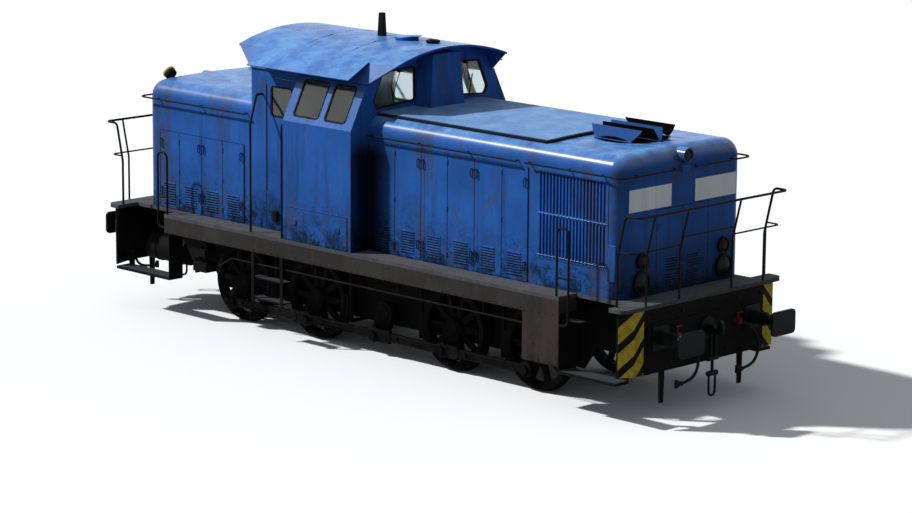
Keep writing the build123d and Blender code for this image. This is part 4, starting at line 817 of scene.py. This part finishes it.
# ------------------------ whistle on the cab front
# A cast bell whistle on a pipe that stands in front of the left-hand window. A flat bracket
# fixes it to the wall of the cab.

whistle_x, whistle_y = 0.110, 0.486
whistle_bars = ((3.520, 3.700, 0.034, 20, 0.006),  # foot, top, radius, sides, eased edge
                (3.700, 3.780, 0.020, 16, 0.004),
                (3.780, 3.900, 0.011, 12, 0.002))
whistle = []
for z0, z1, radius, sides, ease_width in whistle_bars:
    whistle.append(round_bar((whistle_x, whistle_y, rail + z0), (whistle_x, whistle_y, rail + z1),
                             radius, sides, ease_width))
whistle.append(rounded_block((wall_x, 0.440, rail + 3.800), (0.124, 0.532, rail + 3.824), 0.005))
placed(whistle, "cab_whistle", rail_black, smooth=40)

# ------------------------ lid of the long hood
# A lift-off sheet steel cover, bleached to a paler blue, with a black rubber strip along its
# sides and across its front end.

lid_end_x = 3.090
lid_half = 0.970
strip_width, strip_depth = 0.050, 0.038
hood_edge_z = rail + 3.230
hood_top_z = rail + 3.268
crown_half = 1.160
gasket_black = finish("gasket_black", (0.008, 0.009, 0.012), (0.020, 0.019, 0.018), rough=0.7,
                      dirt=0.6, grain=200.0, gloss=0.08)


def hood_surface(y):
    """Height of the long hood's crown at a place across it."""
    return hood_top_z - (hood_top_z - hood_edge_z) * (y / crown_half) ** 2


nothing_selected()
bpy.ops.mesh.primitive_grid_add(x_subdivisions=1, y_subdivisions=24, size=1)
front_strip = bpy.context.active_object
for vertex in front_strip.data.vertices:
    y = vertex.co.y * 2 * (lid_half + 0.012)
    vertex.co = (lid_end_x + 0.0255 + vertex.co.x * strip_width, y, hood_surface(y) + 0.014)
foot_z = hood_surface(lid_half)
side_strip = rounded_block((0.075, -lid_half - 0.042, foot_z - 0.006),
                           (lid_end_x + 0.020, -lid_half - 0.0005, foot_z + 0.028), 0.006)
thickened(front_strip, strip_depth)
placed([front_strip] + both_flanks([side_strip]), "lid_gasket", gasket_black, smooth=35)
repaint(nodes["hood_lid"], lid_blue)

# ------------------------ radiator grilles
# Pressed vertical slats in a frame. Three tie rods run through them, and round spacers on the
# rods hold them apart.

tie_rod_y = -1.170
tie_rod_radius, spacer_radius = 0.005, 0.014
slat_gap_count, slat_gap_pitch = 19, 0.0605
tie_rod_heights = (1.860, 2.390, 2.915)
rod_ends, spacer_ends = (3.110, 4.280), (3.138, 3.160)

beads = []
for z in tie_rod_heights:
    start, end = [(x, tie_rod_y, rail + z) for x in rod_ends]
    beads.append(round_bar(start, end, tie_rod_radius, 10))
    start, end = [(x, hood_side_y, rail + z) for x in spacer_ends]
    bead = round_bar(start, end, spacer_radius, 14, 0.004)
    beads.append(repeated(bead, slat_gap_count, (slat_gap_pitch, 0, 0)))
placed(both_flanks(beads), "grille_tie_rods", body_blue, smooth=40)

# ------------------------ small plates on the hoods
# Screwed covers: an inspection plate low on each flank and a folded bracket near the right nose
# corner, with the latch of the nose door and the bracket of the front handrail.

cover_sizes = ((3.658, 3.850, 1.500, 1.642, -1.166, both_flanks),  # x, x, z, z, face, flanks
               (4.300, 4.424, 1.690, 2.145, -1.176, list))
cover_back_y = -1.1595
cover_rim, cover_dish = 0.016, 0.0025
screw_set = 0.012  # from the edges of a cover
covers = []
screws = []
for x0, x1, z0, z1, face_y, flanks in cover_sizes:
    plate = rounded_block((x0, face_y, rail + z0), (x1, cover_back_y, rail + z1), 0.002)
    edit_facing(plate, (0, -1, 0))
    bpy.ops.mesh.inset(thickness=cover_rim, depth=-cover_dish)
    nothing_selected()
    heads = [round_bar((x, face_y + 0.002, rail + z), (x, face_y - 0.003, rail + z), 0.006, 8, 0.001)
             for x in (x0 + screw_set, x1 - screw_set) for z in (z0 + screw_set, z1 - screw_set)]
    covers += flanks([plate])
    screws += flanks(heads)
placed(covers, "hood_covers", body_blue, smooth=35)
placed(screws, "cover_screws", rail_black, smooth=40)

latch_y, grip_x, grip_radius = -0.466, nose_x + 0.026, 0.006
latch = [rounded_block((nose_x - sunk, -0.492, rail + 2.262),
                       (nose_x + 0.010, -0.440, rail + 2.364), 0.003),
         round_bar((grip_x, latch_y, rail + 2.275), (grip_x, latch_y, rail + 2.351),
                   grip_radius, 12, 0.001)]
for z in (rail + 2.280, rail + 2.346):
    latch.append(round_bar((nose_x + 0.004, latch_y, z), (grip_x, latch_y, z), grip_radius, 12))
for z in (rail + 1.640, rail + 2.340):
    latch.append(round_bar((nose_x + 0.004, 0.488, z - 0.045), (nose_x + 0.004, 0.488, z + 0.045),
                           0.010, 12, 0.002))
placed(latch, "nose_door_latch", body_blue, smooth=40)
bracket = rounded_block((nose_x - sunk, -0.070, rail + 2.945), (nose_x + 0.046, 0.070, rail + 3.020),
                        0.006)
placed([bracket], "handrail_bracket_front", body_blue)

# ------------------------ fan flaps
# Sheets cut from the round cover: blue on the face that lies uppermost when shut, sooty black
# on the other.


def variant(source, name):
    """A copy of a finish under a new name, with its node tree and its shader."""
    paint = source.copy()
    paint.name = name
    return paint, paint.node_tree, paint.node_tree.nodes["Principled BSDF"]


flap_black = (0.006, 0.006, 0.007)
# The upper faces of the flaps are a darker blue than the bonnet paint.
darker_flap_blue, flap_darkening = (0.012, 0.060, 0.215), 0.85
flap_gaps = (-0.2, 0.0, 0.2)  # across, between the four flaps
flap_paint, flap_tree, flap_shader = variant(body_blue, "fan_flap_paint")
flap_tree.links.remove(flap_shader.inputs["Coat Weight"].links[0])
flap_y = place_axes(flap_tree)["Y"]
past_first, past_second, past_third = [combine(flap_tree, "GREATER_THAN", flap_y, gap_y)
                                       for gap_y in flap_gaps]
even_flap = combine(flap_tree, "ADD", combine(flap_tree, "SUBTRACT", past_first, past_second),
                    past_third)
turned_left = combine(flap_tree, "GREATER_THAN", facing_axes(flap_tree)["Y"], 0.0)
upper_face = combine(flap_tree, "ABSOLUTE", combine(flap_tree, "SUBTRACT", 1.0, even_flap, turned_left))
bonnet_blue = flap_shader.inputs["Base Color"].links[0].from_socket
flap_blue = blended(flap_tree, flap_darkening, bonnet_blue, darker_flap_blue)
feed(flap_tree, flap_shader, {"Base Color": blended(flap_tree, upper_face, flap_black, flap_blue),
                              "Coat Weight": 0.03})
repaint(nodes["fan_flaps"], flap_paint)

# ------------------------ roof of the cab
# Folded sheets welded along their edges: a stub pipe, a low vent and a ring stand on the ridge.
# Two yellow horns look out from the end of the short hood.

ridge_z = rail + 4.100
stub_x, vent_x, ring_x = -0.888, -0.409, 0.082

nothing_selected()
bpy.ops.mesh.primitive_cylinder_add(vertices=4, radius=0.064, depth=0.316, end_fill_type="NGON",
                                    location=(stub_x, 0, ridge_z + 0.154), rotation=(0, 0, pi / 4))
stub = shape_applied()
edit_facing(stub, (0, 0, 1))
bpy.ops.transform.resize(value=(0.74, 0.74, 1), center_override=(stub_x, 0, ridge_z))
bpy.ops.mesh.inset(thickness=0.006, depth=0)
bpy.ops.mesh.extrude_region_move(TRANSFORM_OT_translate={"value": (0, 0, -0.050)})
placed([eased(stub, 0.004)], "roof_stub_pipe", rail_black)
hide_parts("roof_vents")

nothing_selected()
bpy.ops.mesh.primitive_cylinder_add(vertices=48, radius=0.160, depth=0.040,
                                    location=(vent_x, 0, ridge_z + 0.016))
cap = bpy.context.active_object
edit_facing(cap, (0, 0, 1))
bpy.ops.mesh.extrude_region_move(TRANSFORM_OT_translate={"value": (0, 0, 0.030)})
bpy.ops.transform.resize(value=(0.55, 0.55, 1), center_override=(0, 0, 0.050))
pick(cap)
placed([eased(shape_applied(), 0.010, 3)], "roof_vent_cap", body_blue, smooth=45)

nothing_selected()
bpy.ops.mesh.primitive_torus_add(location=(ring_x, 0, ridge_z + 0.022), major_radius=0.078,
                                 minor_radius=0.020, major_segments=40, minor_segments=12)
collar = shape_applied()
plug = round_bar((ring_x, 0, ridge_z - 0.010), (ring_x, 0, ridge_z + 0.024), 0.074, 32, 0.003)
placed([collar, plug], "roof_ring", rail_black, smooth=50)

horn_yellow = finish("horn_yellow", (0.62, 0.42, 0.020), (0.20, 0.13, 0.02), rough=0.45, low=2.8,
                     high=3.2, grain=120.0, gloss=0.3)
horn_rise = 35  # degrees above level
horn_tilt = Matrix.Rotation(radians(horn_rise - 90), 4, "Y")
horn_x, stem_x, horn_side = -4.330, -4.310, 0.800
bells = []
faces = []
for y in (-horn_side, horn_side):
    drum = round_bar((0, 0, -0.0370), (0, 0, 0.022), 0.086, 32, 0.008)
    foot = round_bar((0, 0, -0.060), (0, 0, -0.030), 0.034, 20, 0.004)
    rim = round_bar((0, 0, 0.020), (0, 0, 0.056), 0.092, 32, 0.007)
    edit_facing(rim, (0, 0, 1))
    bpy.ops.mesh.inset(thickness=0.010, depth=-0.012)
    bpy.ops.mesh.inset(thickness=0.040, depth=0.008)
    nothing_selected()
    for piece in (drum, foot, rim):
        piece.data.transform(Matrix.Translation((horn_x, y, hood_edge_z + 0.062)) @ horn_tilt)
    stem = round_bar((stem_x, y, hood_edge_z - 0.060), (stem_x, y, hood_edge_z + 0.058), 0.026, 20)
    bells += [drum, foot, stem]
    faces.append(rim)
placed(bells, "horn_bodies", rail_black, smooth=40)
placed(faces, "horn_faces", horn_yellow, smooth=40)

seam_places = (-1.520, -0.640)
roof_line = ((0, rail + 4.1005), (-0.36, rail + 4.083), (-0.70, rail + 4.022),
             (-1.041, rail + 3.9175))
seams = [round_bar((x, *start), (x, *end), 0.004, 6)
         for x in seam_places for start, end in zip(roof_line, roof_line[1:])]
placed(both_flanks(seams), "roof_seams", body_blue)

# ------------------------ hatches and doors of the cab
# Pressed hatch with a dark joint round it, and a handle, a catch and an edge strip on each side
# door.

hatch_corners = ((-1.180, 1.482, -1.174, 1.920), (-0.006, 1.482, 0.000, 1.920),
                 (-1.180, 1.916, 0.000, 1.922))  # x, z to x, z
hatch_joint = [rounded_block((x0, -1.4932, rail + z0), (x1, -1.4905, rail + z1), thin_ease, 1)
               for x0, z0, x1, z1 in hatch_corners]
placed(both_flanks(hatch_joint), "hatch_joint", shadow_black)

spindle_radius = 0.009
for hand, name in ((-1, "right"), (1, "left")):
    door = f"door_{name}"
    face_y, back_y = hand * 1.160, hand * 1.159
    spindle_x, lever_end_x, lever_y, lever_z = -1.330, -1.440, hand * 1.205, rail + 2.400
    handle = [rounded_block((spindle_x - 0.020, face_y, lever_z - 0.100),
                            (spindle_x + 0.020, hand * 1.170, lever_z + 0.040), 0.003),
              round_bar((spindle_x, face_y, lever_z), (spindle_x, lever_y, lever_z),
                        spindle_radius, 12, 0.002),
              round_bar((spindle_x, lever_y, lever_z), (lever_end_x, lever_y, lever_z),
                        spindle_radius, 12, 0.003)]
    placed(handle, f"door_handle_{name}", rail_black, door, smooth=40)
    catch = rounded_block((-1.775, back_y, rail + 1.590), (-1.690, hand * 1.200, rail + 1.740), 0.008)
    placed([catch], f"door_foot_catch_{name}", rail_black, door)
    strip = rounded_block((-1.9245, back_y, rail + 1.990), (-1.9095, hand * 1.166, rail + 3.450), 0.002)
    placed([strip], f"door_edge_strip_{name}", rubber, door)

# ------------------------ paint that changes on one piece
# The cab is blue outside and pale green-grey inside; the top lamps are blue, the others black,
# and treads are worn grey where feet fall. Hooks, couplings and buffers are greased black.


def second_paint(source, name, other, share_of):
    """A copy of a finish that turns to another colour where share_of(tree, place, facing) is 1."""
    paint, tree, shader = variant(source, name)
    share = share_of(tree, place_axes(tree), facing_axes(tree))
    first = shader.inputs["Base Color"].links[0].from_socket
    feed(tree, shader, {"Base Color": blended(tree, share, first, other)})
    return paint


rear_inner_x, front_inner_x = -2.180, 0.022
door_front_x, door_inner_y, side_inner_y, roof_inner_y = -1.205, 1.126, 1.455, 1.170


def between_end_walls(tree, place):
    """1 between the inner faces of the cab's end walls."""
    return product(tree, combine(tree, "GREATER_THAN", place["X"], rear_inner_x),
                   combine(tree, "LESS_THAN", place["X"], front_inner_x))


def inside_walls(tree, place, facing):
    """1 on the inner faces of the cab's walls and doors."""
    from_middle = combine(tree, "ABSOLUTE", place["Y"])
    over_waist = combine(tree, "MAXIMUM", combine(tree, "SUBTRACT", place["Z"], waist_z), 0)
    leaned_in = product(tree, over_waist, lean_run / lean_rise)
    width = combine(tree, "ADD", from_middle, leaned_in)
    door_recess = product(tree, combine(tree, "LESS_THAN", place["X"], door_front_x),
                          combine(tree, "GREATER_THAN", from_middle, door_inner_y))
    return product(tree, between_end_walls(tree, place),
                   combine(tree, "LESS_THAN", width, side_inner_y),
                   combine(tree, "SUBTRACT", 1.0, door_recess))


def ceiling(tree, place, facing):
    """1 on the underside of the roof between the walls."""
    from_middle = combine(tree, "ABSOLUTE", place["Y"])
    return product(tree, between_end_walls(tree, place),
                   combine(tree, "LESS_THAN", from_middle, roof_inner_y),
                   combine(tree, "LESS_THAN", facing["Z"], -0.1))


def walked_on(tree, place, facing):
    """1 on faces that look up."""
    return combine(tree, "GREATER_THAN", facing["Z"], 0.6)


def lower_lamps(tree, place, facing):
    """1 on the lamps below the handrail."""
    return combine(tree, "LESS_THAN", place["Z"], rail + 2.6)


cabin_green = (0.27, 0.29, 0.23)
lamp_black = (0.007, 0.007, 0.008)
tread_grey = (0.045, 0.048, 0.058)
cab_paint = second_paint(body_blue, "cab_wall_paint", cabin_green, inside_walls)
roof_paint = second_paint(body_blue, "cab_roof_paint", cabin_green, ceiling)
lamp_paint = second_paint(body_blue, "lamp_body_paint", lamp_black, lower_lamps)
step_paint = second_paint(under_black, "step_paint", tread_grey, walked_on)
buffer_black = finish("buffer_black", (0.006, 0.007, 0.008), (0.004, 0.004, 0.004), rough=0.42,
                      metal=0.1, low=0.5, high=1.2, grain=90.0, gloss=0.06)
for paint, names in (
        (cab_paint, ("cab_side_right", "cab_side_left", "cab_front_wall", "cab_rear_wall",
                     "cab_door_right", "cab_door_left")),
        (roof_paint, ("cab_roof",)), (lamp_paint, ("hood_lamps",)),
        (step_paint, ("corner_steps", "cab_steps")),
        (buffer_black, ("buffers", "draw_hooks", "screw_coupling_front", "screw_coupling_rear"))):
    for name in names:
        repaint(nodes[name], paint)

# ------------------------ bolts and rivets
# Hexagon heads that hold the buffers and the coupling plate to the headstocks, and a row of
# rivets along each sill.

buffer_y, buffer_z = 0.875, 1.040
bolt_reach = 0.118  # half the square of bolts round a buffer
first_y, first_z = -buffer_y - bolt_reach, buffer_z - bolt_reach
bolt_x, bolt_size = 4.909, 0.017
plate_set = 0.0225  # how far the bare headstock lies behind the buffer's plate

nothing_selected()
bpy.ops.mesh.primitive_cylinder_add(vertices=6, radius=bolt_size, depth=0.016,
                                    location=(bolt_x, first_y, rail + first_z), rotation=(0, pi / 2, 0))
first = shape_applied()
edit_facing(first, (1, 0, 0))
bpy.ops.mesh.inset(thickness=bolt_size * 0.18, depth=bolt_size * 0.12)
nothing_selected()
heads = [first]
for right, up in ((2, 0), (0, 2), (2, 2), (1, 0), (1, 2)):
    heads.append(copied(first, (0, right * bolt_reach, up * bolt_reach)))
heads += [copied(piece, (0, 2 * buffer_y, 0)) for piece in heads]
for rows_y, rows_z in (((-0.150, -0.090, -0.030, 0.030, 0.090, 0.150), (0.905, 1.175)),
                       ((-1.080, -0.640, -0.420, 0.420, 0.640, 1.080), (0.700, 1.310))):
    for y in rows_y:
        for z in rows_z:
            heads.append(copied(first, (-plate_set, y - first_y, z - first_z)))
heads += [copied(piece, turned=True) for piece in heads]
placed(heads, "headstock_bolts", worn_steel)

rivet_x, rivet_z = -3.640, rail + 1.222
rivet_count, rivet_pitch = 62, 0.120
rivet = round_bar((rivet_x, -1.4845, rivet_z), (rivet_x, -1.4905, rivet_z), 0.010, 10, 0.003)
repeated(rivet, rivet_count, (rivet_pitch, 0, 0))
placed(both_flanks([rivet]), "sill_rivets", sill_grey, smooth=50)

# ------------------------ hubs and crank pins
# Six stud bolts in a ring on each axle end, and an oil cup and two nuts at each pin of the rods.
# They turn with the wheelset or ride on the rods.

wheel_places = (2.800, 1.300, -1.300, -2.800)
jackshaft_x = 0.020
axle_z = rail + 0.550
stud_ring = 0.058
stud_y = 0.8315
for index, axle_x in enumerate(wheel_places):
    studs = []
    for hand in (-1, 1):
        for angle in [turn * pi / 3 for turn in range(6)]:
            x = axle_x + stud_ring * cos(angle)
            z = axle_z + stud_ring * sin(angle)
            studs.append(round_bar((x, hand * stud_y, z), (x, hand * (stud_y + 0.012), z),
                                   0.011, 6, 0.002))
    placed(studs, f"hub_bolts_{index + 1}", worn_steel, f"wheelset_{index + 1}", smooth=40)

crank = 0.320
rod_face_y = 0.9085
cup_foot, cup_top, cup_radius, cup_set = 0.098, 0.146, 0.017, 0.030
nut_out, nut_radius = 0.062, 0.010
for hand, name, angle in ((-1, "right", radians(248)), (1, "left", radians(338))):
    z = axle_z + crank * sin(angle)
    pins = []
    for axle_x in wheel_places + (jackshaft_x,):
        x = axle_x + crank * cos(angle)
        cup_y = hand * (rod_face_y - cup_set)
        pins.append(round_bar((x, cup_y, z + cup_foot), (x, cup_y, z + cup_top), cup_radius, 12, 0.004))
        for nut_x in (x - nut_out, x + nut_out):
            pins.append(round_bar((nut_x, hand * (rod_face_y - 0.002), z),
                                  (nut_x, hand * (rod_face_y + 0.010), z), nut_radius, 6, 0.002))
    placed(pins, f"rod_oil_cups_{name}", worn_steel, f"rods_{name}", smooth=40)

# ------------------------ running boards and steps
# Chequer plate: low ribs rolled into the walking surfaces, which cross along two diagonals. A
# bump in the finish makes them.

rib_rate = 150  # radians per metre
tread_paint, tread, tread_shader = variant(deck_grey, "footplate_tread")
tread_place = place_axes(tread)
ribs = []
for sign in (1, -1):
    diagonal = combine(tread, "ADD", tread_place["X"], product(tread, tread_place["Y"], sign))
    ribs.append(combine(tread, "SINE", product(tread, diagonal, rib_rate)))
pattern = ranged(tread, product(tread, *ribs), 0.2, 0.7)
feed(tread, tread_shader, {"Normal": bump(tread, pattern, 0.6, 0.0012)})
repaint(nodes["footplate"], tread_paint)
